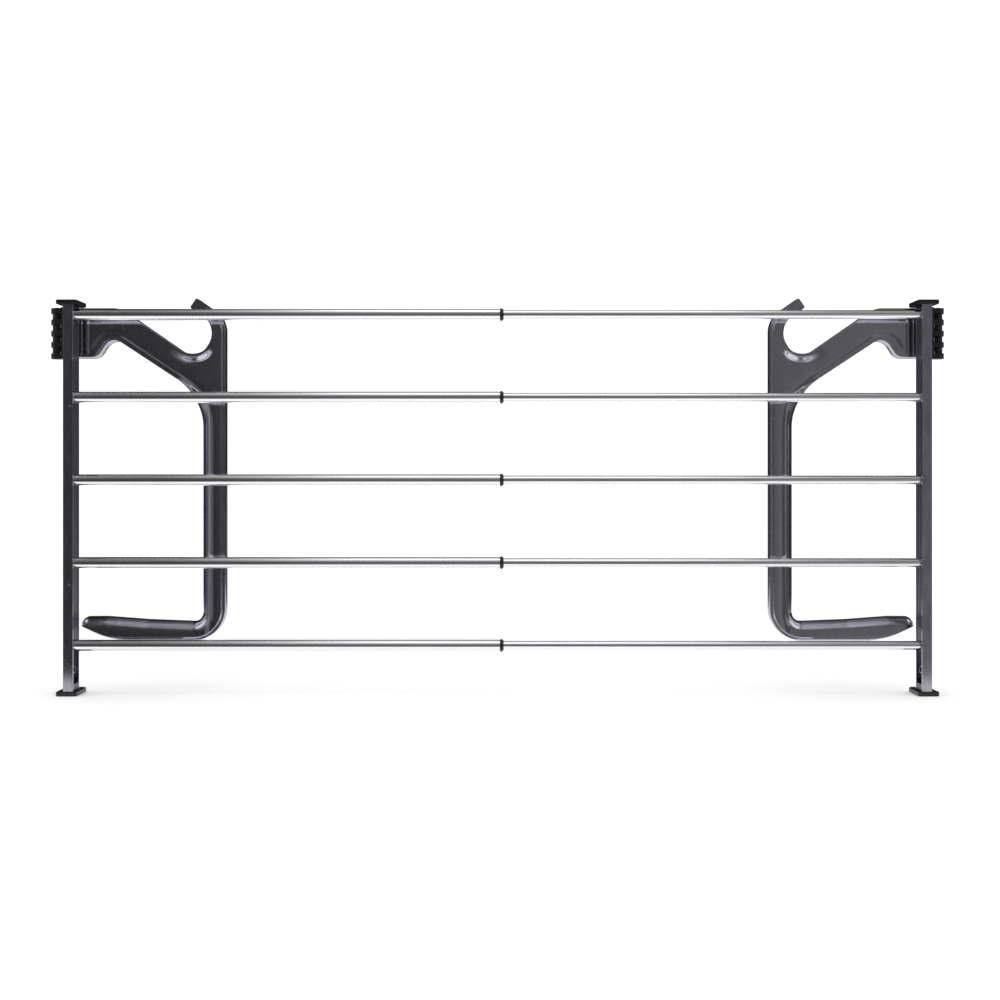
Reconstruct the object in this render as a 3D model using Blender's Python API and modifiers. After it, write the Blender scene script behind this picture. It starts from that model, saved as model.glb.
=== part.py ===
"""Telescopic five-tube clothes airer with two swing-out hook arms.

Metres, +Z up. X runs along the tubes, the front faces -Y, and the origin is under the middle of the
object at the level of its feet. Five thin tubes on the right frame slide into five thicker tubes on
the left frame. An arm hangs behind each side rail, on a hinge with an upright pin.
"""

import math

import bmesh
import bpy
from mathutils import Matrix, Vector

LEFT = -1
RIGHT = 1
GAP = 0.0003
CUT_MARGIN = 0.0030

# Side rails: channels that open toward the tubes
RAIL_OUTER_X = 0.6090
RAIL_WIDTH = 0.0140
RAIL_DEPTH = 0.0300
RAIL_WALL = 0.0015
RAIL_INNER_X = RAIL_OUTER_X - RAIL_WIDTH
BACK_REACH = 0.0449
FRONT_REACH = 0.0160
RAIL_Y = (FRONT_REACH - BACK_REACH) / 2
SLOT_Z = 0.0335
SLOT_WIDTH = 0.0040
SLOT_LENGTH = 0.0090
SLOT_PLUG_RECESS = 0.0006

# End caps, which are the feet and the top plates
HEIGHT = 0.5560
CAP_THICKNESS = 0.0060
CAP_INNER_X = 0.5895
CAP_OUTER_X = 0.6195
CAP_DEPTH = 0.0510
CAP_CORNER = 0.0050
CAP_PLUG_LOW = 0.0100
CAP_PLUG_HIGH = 0.0026
CAP_PLUG_ROOT = 0.0010

# Tubes
TUBE_COUNT = 5
TUBE_PITCH = 0.1165
TOP_TUBE_Z = 0.5360
TUBE_Y = RAIL_Y - 0.0040
TUBE_WALL = 0.0006
OUTER_RADIUS = 0.0080
INNER_RADIUS = 0.0063
TUBE_END_X = 0.6045
MOUTH_X = 0.0035
OVERLAP = 0.0850
ROUND_STEPS = 18

# Collar in the mouth of each outer tube, and guide bush on the end of each inner tube
COLLAR_RADIUS = 0.0090
COLLAR_WIDTH = 0.0033
COLLAR_LIP = 0.0015
COLLAR_LIP_WALL = 0.0010
COLLAR_LIP_TAPER = 0.0004
COLLAR_SPIGOT = 0.0080
RUNNING_GAP = 0.0002
BUSH_WIDTH = 0.0070
BUSH_CORE = 0.0120

# Socket strips that fill the channels
STRIP_LOW_Z = 0.0620
STRIP_HIGH_Z = 0.5470
SOCKET_DEPTH = 0.0098
DRIVE_PIN_X = 0.5994
DRIVE_PIN_ZS = (0.1560, 0.4065)
DRIVE_PIN_RADIUS = 0.0010
DRIVE_PIN_HEAD_RADIUS = 0.0016
DRIVE_PIN_HEAD = 0.0005
DRIVE_PIN_LENGTH = 0.0060

# Hinges: nine knuckles on an upright pin, five of them on the rail
PIN_X = 0.6225
PIN_Y = RAIL_Y + 0.0040
PIN_RADIUS = 0.0025
PIN_HEAD_RADIUS = 0.0045
PIN_HEAD = 0.0012
KNUCKLE_COUNT = 9
HINGE_LOW_Z = 0.4740
HINGE_HIGH_Z = 0.5454
RAIL_KNUCKLE_RADIUS = 0.0085
ARM_KNUCKLE_RADIUS = 0.0065
RAIL_KNUCKLE_SPACE = 0.0008
ARM_KNUCKLE_SPACE = 0.0004
KNUCKLE_CUT = 0.0100
LEAF_THICKNESS = 0.0030
LEAF_FRONT_Y = -0.0170
LEAF_BACK_Y = 0.0090
RAIL_SCREW_Y = -0.0128
RAIL_SCREW_ZS = (0.4810, 0.5000, 0.5190)
RAIL_SCREW_LENGTH = 0.0105
ARM_PLATE_THICKNESS = 0.0027
ARM_PLATE_END = 0.0295
ARM_PLATE_WEB = 0.0010
ARM_PLATE_LOW_Z = 0.4800
ARM_PLATE_HIGH_Z = 0.5450

# Screws
SCREW_RADIUS = 0.0016
SCREW_HEAD_RADIUS = 0.0033
SCREW_HEAD = 0.0020
SCREW_STEPS = 8
HEAD_TOP_SHARE = 0.7
HEAD_EDGE_SHARE = 0.4

# Arms, in a frame on the hinge pin: u runs inboard from the pin, z is the height over the floor
ARM_FRONT_Y = 0.0146
ARM_BACK_Y = 0.0386
ARM_SEAM_Y = 0.0330
ARM_WALL = 0.0032
ARM_TOP_Z = 0.5480
ROOT_U = 0.0095
ROOT_LOW_Z = 0.4773
ROOT_BLOCK_U = 0.0320
ROOT_BLOCK_INSET = 0.0010
LEG_INNER_U = 0.2003
LEG_OUTER_U = 0.2337
HOOK_U = 0.1863
HOOK_Z = 0.5125
HOOK_RADIUS = 0.0285
HOOK_TILT = math.radians(34.6)
FINGER_WIDTH = 0.0170
FINGER_REACH = 0.0232
FOOT_LOW_Z = 0.0735
FOOT_HIGH_Z = 0.1000
ARM_SCREW_US = (0.0155, 0.0245)
ARM_SCREW_ZS = (0.4900, 0.5350)
# How far the arm's edge stands inward at each depth behind its front face, and before its back face
ARM_FRONT_EDGE = ((0.0050, 0.0), (0.0015, 0.0016), (0.0, 0.0055))
ARM_BACK_EDGE = ((0.0, 0.0030), (0.0012, 0.0008), (0.0038, 0.0))
ARC_STEP = math.radians(20)
SAME_POINT = 0.00001


# Scene


def clear_scene():
    """Removes every object that the file holds."""
    for obj in list(bpy.data.objects):
        bpy.data.objects.remove(obj, do_unlink=True)


def new_collection(name):
    """A collection under the scene."""
    collection = bpy.data.collections.new(name)
    bpy.context.scene.collection.children.link(collection)
    return collection


def new_material(name, color, roughness, metallic):
    """A Principled material."""
    material = bpy.data.materials.new(name)
    material.use_nodes = True
    shader = material.node_tree.nodes["Principled BSDF"]
    shader.inputs["Base Color"].default_value = (*color, 1)
    shader.inputs["Roughness"].default_value = roughness
    shader.inputs["Metallic"].default_value = metallic
    return material


clear_scene()
PARTS = new_collection("telescopic_clothes_airer")
CUTTERS = new_collection("cutters")


def new_empty(name, location):
    """An empty that carries the pieces of one moving body."""
    empty = bpy.data.objects.new(name, None)
    empty.location = location
    PARTS.objects.link(empty)
    return empty


def new_part(name, mesh, material, parent, location=(0, 0, 0)):
    """A named piece of the object, under its body's empty."""
    mesh.name = name
    mesh.materials.clear()
    mesh.materials.append(new_material(name, *material))
    part = bpy.data.objects.new(name, mesh)
    part.parent = parent
    part.location = location
    PARTS.objects.link(part)
    return part


def new_tool(name, mesh, parent=None):
    """A wire-drawn helper that a Boolean reads."""
    tool = bpy.data.objects.new(name, mesh)
    tool.parent = parent
    tool.hide_render = True
    tool.display_type = "WIRE"
    CUTTERS.objects.link(tool)
    return tool


def boolean(part, tool, operation):
    """Cuts a part with a tool, or joins the tool to it."""
    modifier = part.modifiers.new(tool.name, "BOOLEAN")
    modifier.operation = operation
    modifier.object = tool


# Shapes


def to_mesh(shape, smooth=True):
    """The mesh of a bmesh, with its faces turned outward."""
    bmesh.ops.recalc_face_normals(shape, faces=shape.faces)
    mesh = bpy.data.meshes.new("shape")
    shape.to_mesh(mesh)
    shape.free()
    if smooth:
        mesh.shade_smooth()
        mesh.set_sharp_from_angle(angle=math.radians(35))
    return mesh


def add_box(shape, low, high):
    """Adds a box between two opposite corners."""
    low, high = Vector(low), Vector(high)
    middle = Matrix.Translation((low + high) / 2)
    bmesh.ops.create_cube(shape, size=1, matrix=middle @ Matrix.Diagonal((*(high - low), 1)))


def add_cylinder(shape, start, end, radius, steps=ROUND_STEPS):
    """Adds a capped cylinder between two points."""
    start, end = Vector(start), Vector(end)
    turn = (end - start).to_track_quat("Z", "Y").to_matrix().to_4x4()
    bmesh.ops.create_cone(
        shape,
        cap_ends=True,
        segments=steps,
        radius1=radius,
        radius2=radius,
        depth=(end - start).length,
        matrix=Matrix.Translation((start + end) / 2) @ turn,
    )


def box_mesh(*boxes):
    """A mesh of boxes, each given by its low and high corner."""
    shape = bmesh.new()
    for low, high in boxes:
        add_box(shape, low, high)
    return to_mesh(shape, smooth=False)


def cylinder_mesh(*cylinders):
    """A mesh of cylinders, each given by its ends, radius and steps."""
    shape = bmesh.new()
    for cylinder in cylinders:
        add_cylinder(shape, *cylinder)
    return to_mesh(shape)


def prism_mesh(outline, low, high):
    """A mesh that runs straight up from a flat outline of (x, y) points."""
    shape = bmesh.new()
    base = shape.faces.new([shape.verts.new((x, y, low)) for x, y in outline])
    made = bmesh.ops.extrude_face_region(shape, geom=[base])["geom"]
    lifted = [item for item in made if isinstance(item, bmesh.types.BMVert)]
    bmesh.ops.translate(shape, verts=lifted, vec=(0, 0, high - low))
    return to_mesh(shape)


def turned_part(name, profile, material, parent, location, closed):
    """A turned piece: its (radius, x) profile runs down the outer side and sweeps round the X axis."""
    mesh = bpy.data.meshes.new(name)
    points = [(radius, 0, height) for radius, height in profile]
    edges = [(i, i + 1) for i in range(len(points) - 1)]
    if closed:
        edges.append((len(points) - 1, 0))
    mesh.from_pydata(points, edges, [])
    part = new_part(name, mesh, material, parent, location)
    part.rotation_euler = (0, math.pi / 2, 0)
    sweep = part.modifiers.new("Sweep", "SCREW")
    sweep.steps = sweep.render_steps = ROUND_STEPS
    sweep.use_merge_vertices = True
    sweep.merge_threshold = 0.00001
    return part


def arc(centre, radius, start, end):
    """Points along an arc, with angles in degrees and both ends included."""
    steps = max(1, round(abs(end - start) / (360 / ROUND_STEPS)))
    angles = [math.radians(start + (end - start) * i / steps) for i in range(steps + 1)]
    return [(centre[0] + radius * math.cos(a), centre[1] + radius * math.sin(a)) for a in angles]


def rounded_outline(corners, inset):
    """Points round a polygon of (u, z, radius) corners, each rounded off, moved inward by inset.

    The corners run anticlockwise. The outline of every inset has the same number of points.
    """
    points = []
    for i, (u, z, radius) in enumerate(corners):
        here = Vector((u, z))
        before = (here - Vector(corners[i - 1][:2])).normalized()
        after = (Vector(corners[(i + 1) % len(corners)][:2]) - here).normalized()
        turn = math.atan2(before.cross(after), before.dot(after))
        inward_before = Vector((-before.y, before.x))
        inward_after = Vector((-after.y, after.x))
        apex = here + (inward_before + inward_after) * inset / (1 + before.dot(after))
        bend = math.copysign(1, turn)
        bend_radius = max(radius - bend * inset, GAP)
        start = apex - before * bend_radius * math.tan(abs(turn) / 2)
        centre = start + inward_before * bend * bend_radius
        steps = max(1, math.ceil(abs(turn) / ARC_STEP))
        for step in range(steps + 1):
            point = centre + Matrix.Rotation(turn * step / steps, 2) @ (start - centre)
            if not points or (point - points[-1]).length > SAME_POINT:
                points.append(point)
    return points


def lofted_mesh(rings):
    """A closed mesh over rings of points, with a flat face on the first and the last ring."""
    shape = bmesh.new()
    loops = [[shape.verts.new(point) for point in ring] for ring in rings]
    for ring, following in zip(loops, loops[1:]):
        for i in range(len(ring)):
            shape.faces.new((ring[i - 1], ring[i], following[i], following[i - 1]))
    shape.faces.new(loops[0])
    shape.faces.new(loops[-1])
    return to_mesh(shape)


# Materials: colour, roughness, metallic

STEEL = ((0.72, 0.73, 0.74), 0.18, 1.0)
POWDER_COAT = ((0.045, 0.045, 0.05), 0.42, 0.2)
BLACK_PLASTIC = ((0.012, 0.012, 0.013), 0.45, 0.0)
DARK_PLASTIC = ((0.03, 0.03, 0.033), 0.5, 0.0)
GRAPHITE_PLASTIC = ((0.05, 0.05, 0.055), 0.25, 0.0)
ZINC = ((0.35, 0.35, 0.36), 0.35, 1.0)


# Frames


def tube_heights():
    """Heights of the tubes, from the top one down."""
    return [TOP_TUBE_Z - i * TUBE_PITCH for i in range(TUBE_COUNT)]


def side_x(side, x_range):
    """The x range on the left or right side, lowest first."""
    return sorted(side * x for x in x_range)


def side_box(side, x_range, y_range, z_range):
    """Corners of a box whose x range is given as distances from the middle."""
    low_x, high_x = side_x(side, x_range)
    return (low_x, y_range[0], z_range[0]), (high_x, y_range[1], z_range[1])


def slot_mesh(side, y_range, spare):
    """A box in the place of the back flange's slot, smaller by spare on every side."""
    x = (RAIL_INNER_X + RAIL_OUTER_X) / 2
    half_width = SLOT_WIDTH / 2 - spare
    half_length = SLOT_LENGTH / 2 - spare
    x_range = (x - half_width, x + half_width)
    return box_mesh(side_box(side, x_range, y_range, (SLOT_Z - half_length, SLOT_Z + half_length)))


def make_rail(side, name, body):
    """A channel with a slot in its back flange, and holes for the hinge screws and drive pins."""
    front, back = RAIL_Y - RAIL_DEPTH / 2, RAIL_Y + RAIL_DEPTH / 2
    z_range = (CAP_THICKNESS + GAP, HEIGHT - CAP_THICKNESS - GAP)
    outline = [
        (RAIL_INNER_X, front),
        (RAIL_OUTER_X, front),
        (RAIL_OUTER_X, back),
        (RAIL_INNER_X, back),
        (RAIL_INNER_X, back - RAIL_WALL),
        (RAIL_OUTER_X - RAIL_WALL, back - RAIL_WALL),
        (RAIL_OUTER_X - RAIL_WALL, front + RAIL_WALL),
        (RAIL_INNER_X, front + RAIL_WALL),
    ]
    mesh = prism_mesh([(side * x, y) for x, y in outline], *z_range)
    rail = new_part(f"{name}_side_rail", mesh, POWDER_COAT, body)
    slot = slot_mesh(side, (back - RAIL_WALL - CUT_MARGIN, back + CUT_MARGIN), 0)
    boolean(rail, new_tool(f"{name}_slot_cutter", slot), "DIFFERENCE")
    boolean(rail, new_tool(f"{name}_rail_screw_cutter", rail_screw_holes(side)), "DIFFERENCE")
    boolean(rail, new_tool(f"{name}_drive_pin_cutter", drive_pin_holes(side)), "DIFFERENCE")


def make_slot_plug(side, name, body):
    """The plug that closes the slot, set a little behind the flange's inner face."""
    back = RAIL_Y + RAIL_DEPTH / 2
    mesh = slot_mesh(side, (back - RAIL_WALL + SLOT_PLUG_RECESS, back), GAP)
    new_part(f"{name}_slot_plug", mesh, BLACK_PLASTIC, body)


def rail_screw_holes(side):
    """Holes for the hinge screws, through the leaf and the rail and into the socket strip."""
    radius = SCREW_RADIUS + GAP
    start = side * (RAIL_OUTER_X + LEAF_THICKNESS + CUT_MARGIN)
    end = side * (RAIL_OUTER_X - RAIL_SCREW_LENGTH)
    y = PIN_Y + RAIL_SCREW_Y
    return cylinder_mesh(
        *(((start, y, z), (end, y, z), radius, SCREW_STEPS) for z in RAIL_SCREW_ZS)
    )


def drive_pin_holes(side):
    """Holes for the two drive pins that hold the socket strip in the channel."""
    front = RAIL_Y - RAIL_DEPTH / 2
    x = side * DRIVE_PIN_X
    y_range = (front - CUT_MARGIN, front + DRIVE_PIN_LENGTH + GAP)
    radius = DRIVE_PIN_RADIUS + GAP
    return cylinder_mesh(
        *(((x, y_range[0], z), (x, y_range[1], z), radius, SCREW_STEPS) for z in DRIVE_PIN_ZS)
    )


def make_strip(side, name, body, tube_radius):
    """The moulded strip that fills the channel and holds the tube ends in blind sockets."""
    x_range = (RAIL_INNER_X, RAIL_OUTER_X - RAIL_WALL - GAP)
    half_depth = RAIL_DEPTH / 2 - RAIL_WALL - GAP
    y_range = (RAIL_Y - half_depth, RAIL_Y + half_depth)
    mesh = box_mesh(side_box(side, x_range, y_range, (STRIP_LOW_Z, STRIP_HIGH_Z)))
    strip = new_part(f"{name}_socket_strip", mesh, DARK_PLASTIC, body)
    sockets = cylinder_mesh(
        *(
            (
                (side * (RAIL_INNER_X - CUT_MARGIN), TUBE_Y, z),
                (side * (RAIL_INNER_X + SOCKET_DEPTH), TUBE_Y, z),
                tube_radius + GAP,
            )
            for z in tube_heights()
        )
    )
    boolean(strip, new_tool(f"{name}_socket_cutter", sockets), "DIFFERENCE")
    boolean(strip, bpy.data.objects[f"{name}_rail_screw_cutter"], "DIFFERENCE")
    boolean(strip, bpy.data.objects[f"{name}_drive_pin_cutter"], "DIFFERENCE")


def make_cap(side, name, body, low, plug_range):
    """An end plate wider and deeper than the rail, with a plug that stands in the channel."""
    front = RAIL_Y - FRONT_REACH
    back = front + CAP_DEPTH
    cut = CAP_CORNER
    outline = [
        (CAP_INNER_X, front),
        (CAP_OUTER_X - cut / 2, front),
        (CAP_OUTER_X, front + cut / 2),
        (CAP_OUTER_X, back - cut),
        (CAP_OUTER_X - cut, back),
        (CAP_INNER_X + cut, back),
        (CAP_INNER_X, back - cut),
    ]
    mesh = prism_mesh([(side * x, y) for x, y in outline], low, low + CAP_THICKNESS)
    cap = new_part(name, mesh, BLACK_PLASTIC, body)
    x_range = (RAIL_INNER_X + GAP, RAIL_OUTER_X - RAIL_WALL - GAP)
    half_depth = RAIL_DEPTH / 2 - RAIL_WALL - GAP
    plug = box_mesh(side_box(side, x_range, (RAIL_Y - half_depth, RAIL_Y + half_depth), plug_range))
    boolean(cap, new_tool(f"{name}_plug", plug), "UNION")


def make_drive_pins(side, name, body):
    """Two small pins through the front flange into the socket strip."""
    sizes = (DRIVE_PIN_RADIUS, DRIVE_PIN_HEAD_RADIUS, DRIVE_PIN_HEAD)
    for number, z in enumerate(DRIVE_PIN_ZS, start=1):
        mesh = stud_mesh(Vector((0, 1, 0)), sizes, DRIVE_PIN_LENGTH)
        seat = (side * DRIVE_PIN_X, RAIL_Y - RAIL_DEPTH / 2 - GAP, z)
        new_part(f"{name}_drive_pin_{number}", mesh, ZINC, body, seat)


def stud_mesh(direction, sizes, length):
    """A headed stud whose head sits on the origin and whose shank points along direction."""
    radius, head_radius, head = sizes
    shape = bmesh.new()
    top_radius = head_radius * HEAD_TOP_SHARE
    top = bmesh.ops.create_circle(shape, cap_ends=True, segments=SCREW_STEPS, radius=top_radius)
    bmesh.ops.translate(shape, verts=top["verts"], vec=(0, 0, -head))
    ring = list(top["verts"][0].link_faces[0].edges)
    edge = (head_radius, -head * HEAD_EDGE_SHARE)
    steps = (edge, (head_radius, 0), (radius, 0), (radius, length))
    for ring_radius, height in steps:
        made = bmesh.ops.extrude_edge_only(shape, edges=ring)["geom"]
        ring = [item for item in made if isinstance(item, bmesh.types.BMEdge)]
        for vert in (item for item in made if isinstance(item, bmesh.types.BMVert)):
            outward = Vector((vert.co.x, vert.co.y, 0)).normalized()
            vert.co = outward * ring_radius + Vector((0, 0, height))
    bmesh.ops.holes_fill(shape, edges=ring)
    turn = direction.to_track_quat("Z", "Y").to_matrix()
    bmesh.ops.rotate(shape, verts=shape.verts, cent=(0, 0, 0), matrix=turn)
    return to_mesh(shape)


# Tubes


def make_outer_tube(number, height, body):
    """A thick tube from its socket in the left rail to its open mouth near the middle."""
    inside = OUTER_RADIUS - TUBE_WALL
    profile = [
        (OUTER_RADIUS, MOUTH_X),
        (OUTER_RADIUS, -TUBE_END_X),
        (inside, -TUBE_END_X),
        (inside, MOUTH_X),
    ]
    place = (0, TUBE_Y, height)
    turned_part(f"outer_tube_{number}", profile, STEEL, body, place, closed=True)


def make_inner_tube(number, height, body):
    """A thin tube that runs from inside the outer tube to its socket in the right rail."""
    start = MOUTH_X - OVERLAP
    inside = INNER_RADIUS - TUBE_WALL
    profile = [
        (INNER_RADIUS, TUBE_END_X),
        (INNER_RADIUS, start),
        (inside, start),
        (inside, TUBE_END_X),
    ]
    place = (0, TUBE_Y, height)
    turned_part(f"inner_tube_{number}", profile, STEEL, body, place, closed=True)


def make_collar(number, height, body):
    """A flanged ring in the outer tube's mouth, which the inner tube slides through."""
    face = MOUTH_X + GAP
    spigot = OUTER_RADIUS - TUBE_WALL - GAP
    bore = INNER_RADIUS + RUNNING_GAP
    lip = INNER_RADIUS + COLLAR_LIP_WALL
    lip_end = face + COLLAR_WIDTH + COLLAR_LIP
    profile = [
        (lip, lip_end),
        (lip + COLLAR_LIP_TAPER, face + COLLAR_WIDTH),
        (COLLAR_RADIUS, face + COLLAR_WIDTH),
        (COLLAR_RADIUS, face),
        (spigot, face),
        (spigot, face - COLLAR_SPIGOT),
        (bore, face - COLLAR_SPIGOT),
        (bore, lip_end),
    ]
    place = (0, TUBE_Y, height)
    turned_part(f"tube_collar_{number}", profile, DARK_PLASTIC, body, place, closed=True)


def make_bush(number, height, body):
    """A plug in the inner tube's hidden end, whose flange slides inside the outer tube."""
    end = MOUTH_X - OVERLAP - GAP
    flange = OUTER_RADIUS - TUBE_WALL - RUNNING_GAP
    core = INNER_RADIUS - TUBE_WALL - GAP
    profile = [
        (0, end + BUSH_CORE),
        (core, end + BUSH_CORE),
        (core, end),
        (flange, end),
        (flange, end - BUSH_WIDTH),
        (0, end - BUSH_WIDTH),
    ]
    place = (0, TUBE_Y, height)
    turned_part(f"guide_bush_{number}", profile, DARK_PLASTIC, body, place, closed=False)


# Hinges, in a frame on the pin: u runs inboard from the pin


def knuckle_range(number):
    """The height range of one knuckle, counted from the lowest."""
    pitch = (HINGE_HIGH_Z - HINGE_LOW_Z) / KNUCKLE_COUNT
    low = HINGE_LOW_Z + number * pitch
    return low, low + pitch


def knuckle_cutter(side, first, u_range, y_range):
    """Boxes that clear every other knuckle's space, from the one with the given number."""
    boxes = []
    for number in range(first, KNUCKLE_COUNT, 2):
        low, high = knuckle_range(number)
        low_x, high_x = sorted(-side * u for u in u_range)
        below = GAP / 2 if number else CUT_MARGIN
        above = GAP / 2 if number < KNUCKLE_COUNT - 1 else CUT_MARGIN
        boxes.append(((low_x, y_range[0], low - below), (high_x, y_range[1], high + above)))
    return box_mesh(*boxes)


def pin_bore(name, pivot):
    """A cutter along the hinge pin, which both leaves share."""
    ends = ((0, 0, HINGE_LOW_Z - CUT_MARGIN), (0, 0, HINGE_HIGH_Z + CUT_MARGIN))
    return new_tool(f"{name}_pin_cutter", cylinder_mesh((*ends, PIN_RADIUS + GAP, 16)), pivot)


def make_rail_leaf(side, name, pivot_place, body, bore):
    """The hinge leaf on the rail's outer face, with five knuckles."""
    plate_outer = PIN_X - RAIL_OUTER_X - GAP - LEAF_THICKNESS
    plate_inner = plate_outer + LEAF_THICKNESS
    outline = [
        (plate_outer, LEAF_FRONT_Y),
        (plate_inner, LEAF_FRONT_Y),
        (plate_inner, LEAF_BACK_Y),
        (plate_outer, LEAF_BACK_Y),
        (plate_outer, 0),
        *arc((0, 0), RAIL_KNUCKLE_RADIUS, 0, 270),
        (plate_outer, -RAIL_KNUCKLE_RADIUS),
    ]
    mesh = prism_mesh([(-side * u, y) for u, y in outline], HINGE_LOW_Z, HINGE_HIGH_Z)
    leaf = new_part(f"{name}_rail_leaf", mesh, BLACK_PLASTIC, body, pivot_place)
    clear_u = (-KNUCKLE_CUT, ARM_KNUCKLE_RADIUS + ARM_KNUCKLE_SPACE)
    cutter = knuckle_cutter(side, 1, clear_u, (-KNUCKLE_CUT, KNUCKLE_CUT))
    tool = new_tool(f"{name}_rail_leaf_cutter", cutter)
    tool.location = pivot_place
    boolean(leaf, tool, "DIFFERENCE")
    boolean(leaf, bore, "DIFFERENCE")
    boolean(leaf, bpy.data.objects[f"{name}_rail_screw_cutter"], "DIFFERENCE")


def make_arm_leaf(side, name, pivot, bore, screw_holes):
    """The hinge leaf behind the rail, with four knuckles and a plate that the arm is screwed to."""
    plate_back = ARM_FRONT_Y - GAP
    plate_front = plate_back - ARM_PLATE_THICKNESS
    web_angle = math.degrees(math.acos(ARM_PLATE_WEB / ARM_KNUCKLE_RADIUS))
    outline = [
        *arc((0, 0), ARM_KNUCKLE_RADIUS, 180, 360 + web_angle),
        (ARM_PLATE_WEB, plate_front),
        (ARM_PLATE_END, plate_front),
        (ARM_PLATE_END, plate_back),
        (-ARM_KNUCKLE_RADIUS, plate_back),
    ]
    mesh = prism_mesh([(-side * u, y) for u, y in outline], ARM_PLATE_LOW_Z, ARM_PLATE_HIGH_Z)
    leaf = new_part(f"{name}_arm_leaf", mesh, BLACK_PLASTIC, pivot)
    clear_y = (-KNUCKLE_CUT, RAIL_KNUCKLE_RADIUS + RAIL_KNUCKLE_SPACE)
    cutter = knuckle_cutter(side, 0, (-KNUCKLE_CUT, KNUCKLE_CUT), clear_y)
    boolean(leaf, new_tool(f"{name}_arm_leaf_cutter", cutter, pivot), "DIFFERENCE")
    boolean(leaf, bore, "DIFFERENCE")
    boolean(leaf, screw_holes, "DIFFERENCE")


def make_hinge_pin(name, body, pivot_place):
    """The upright pin, with a low head on top."""
    sizes = (PIN_RADIUS, PIN_HEAD_RADIUS, PIN_HEAD)
    mesh = stud_mesh(Vector((0, 0, -1)), sizes, HINGE_HIGH_Z - HINGE_LOW_Z)
    seat = Vector(pivot_place) + Vector((0, 0, HINGE_HIGH_Z + GAP))
    new_part(f"{name}_hinge_pin", mesh, ZINC, body, seat)


def make_rail_screws(side, name, body):
    """Three screws that hold the rail leaf."""
    seat_x = side * (RAIL_OUTER_X + GAP + LEAF_THICKNESS + GAP)
    sizes = (SCREW_RADIUS, SCREW_HEAD_RADIUS, SCREW_HEAD)
    for number, z in enumerate(RAIL_SCREW_ZS, start=1):
        mesh = stud_mesh(Vector((-side, 0, 0)), sizes, RAIL_SCREW_LENGTH)
        seat = (seat_x, PIN_Y + RAIL_SCREW_Y, z)
        new_part(f"{name}_rail_screw_{number}", mesh, ZINC, body, seat)


# Arms


def arm_corners():
    """The arm's outline as (u, z, radius) corners, anticlockwise from the root's lower end."""
    along = Vector((math.cos(HOOK_TILT), -math.sin(HOOK_TILT)))
    across = Vector((math.sin(HOOK_TILT), math.cos(HOOK_TILT)))
    hook = Vector((HOOK_U, HOOK_Z))
    seat = hook - HOOK_RADIUS * across
    shoulder = seat - along * (ARM_TOP_Z - seat.y) / math.sin(HOOK_TILT)
    floor_low = hook + HOOK_RADIUS * (along - across)
    floor_high = hook + HOOK_RADIUS * (along + across)
    tip_inner = hook + HOOK_RADIUS * across - FINGER_REACH * along
    tip_outer = tip_inner + FINGER_WIDTH * across
    top = tip_outer + along * (LEG_OUTER_U - tip_outer.x) / math.cos(HOOK_TILT)
    return [
        (ROOT_U, ROOT_LOW_Z, 0.0030),
        (0.0520, ROOT_LOW_Z, 0.0145),
        (0.0723, 0.5080, 0.0167),
        (LEG_INNER_U, 0.4238, 0.0850),
        (LEG_INNER_U, FOOT_HIGH_Z, 0.0130),
        (0.1225, 0.1030, 0.1000),
        (0.0625, 0.1075, 0.0600),
        (0.0325, 0.1073, 0.0080),
        (0.0245, 0.0953, 0.0050),
        (0.0705, FOOT_LOW_Z, 0.1200),
        (LEG_OUTER_U, FOOT_LOW_Z, 0.0460),
        (top.x, top.y, 0.0380),
        (tip_outer.x, tip_outer.y, 0.0030),
        (tip_inner.x, tip_inner.y, 0.0030),
        (floor_high.x, floor_high.y, HOOK_RADIUS),
        (floor_low.x, floor_low.y, HOOK_RADIUS),
        (shoulder.x, shoulder.y, 0.0300),
        (ROOT_U, ARM_TOP_Z, 0.0030),
    ]


def arm_rings(side, profile):
    """One ring of points round the arm for each (inset, y) step of a profile."""
    corners = arm_corners()
    return [
        [(-side * point.x, y, point.y) for point in rounded_outline(corners, inset)]
        for inset, y in profile
    ]


def make_arm(side, name, pivot, screw_holes):
    """The hook arm: a rounded front shell, open at the back, with a solid block at its root."""
    seam = ARM_SEAM_Y - GAP
    profile = [
        *((inset, ARM_FRONT_Y + depth) for inset, depth in ARM_FRONT_EDGE),
        (0.0, seam),
        (ARM_WALL, seam),
        (ARM_WALL, ARM_FRONT_Y + ARM_WALL),
    ]
    shell = new_part(f"{name}_arm", lofted_mesh(arm_rings(side, profile)), GRAPHITE_PLASTIC, pivot)
    u_range = (ROOT_U + ROOT_BLOCK_INSET, ROOT_BLOCK_U)
    y_range = (ARM_FRONT_Y + 2 * ROOT_BLOCK_INSET, seam)
    z_range = (ROOT_LOW_Z + ROOT_BLOCK_INSET, ARM_TOP_Z - ROOT_BLOCK_INSET)
    block = box_mesh(side_box(-side, u_range, y_range, z_range))
    boolean(shell, new_tool(f"{name}_root_block", block, pivot), "UNION")
    boolean(shell, screw_holes, "DIFFERENCE")


def make_arm_back(side, name, pivot, screw_holes):
    """The rounded cover that closes the back of the arm."""
    profile = [
        (0.0, ARM_SEAM_Y),
        *((inset, ARM_BACK_Y - depth) for inset, depth in ARM_BACK_EDGE),
    ]
    mesh = lofted_mesh(arm_rings(side, profile))
    cover = new_part(f"{name}_arm_back", mesh, GRAPHITE_PLASTIC, pivot)
    boolean(cover, screw_holes, "DIFFERENCE")


def arm_screw_places(side):
    """The (x, z) places of the four arm screws, in the frame on the pin."""
    return [(-side * u, z) for u in ARM_SCREW_US for z in ARM_SCREW_ZS]


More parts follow.
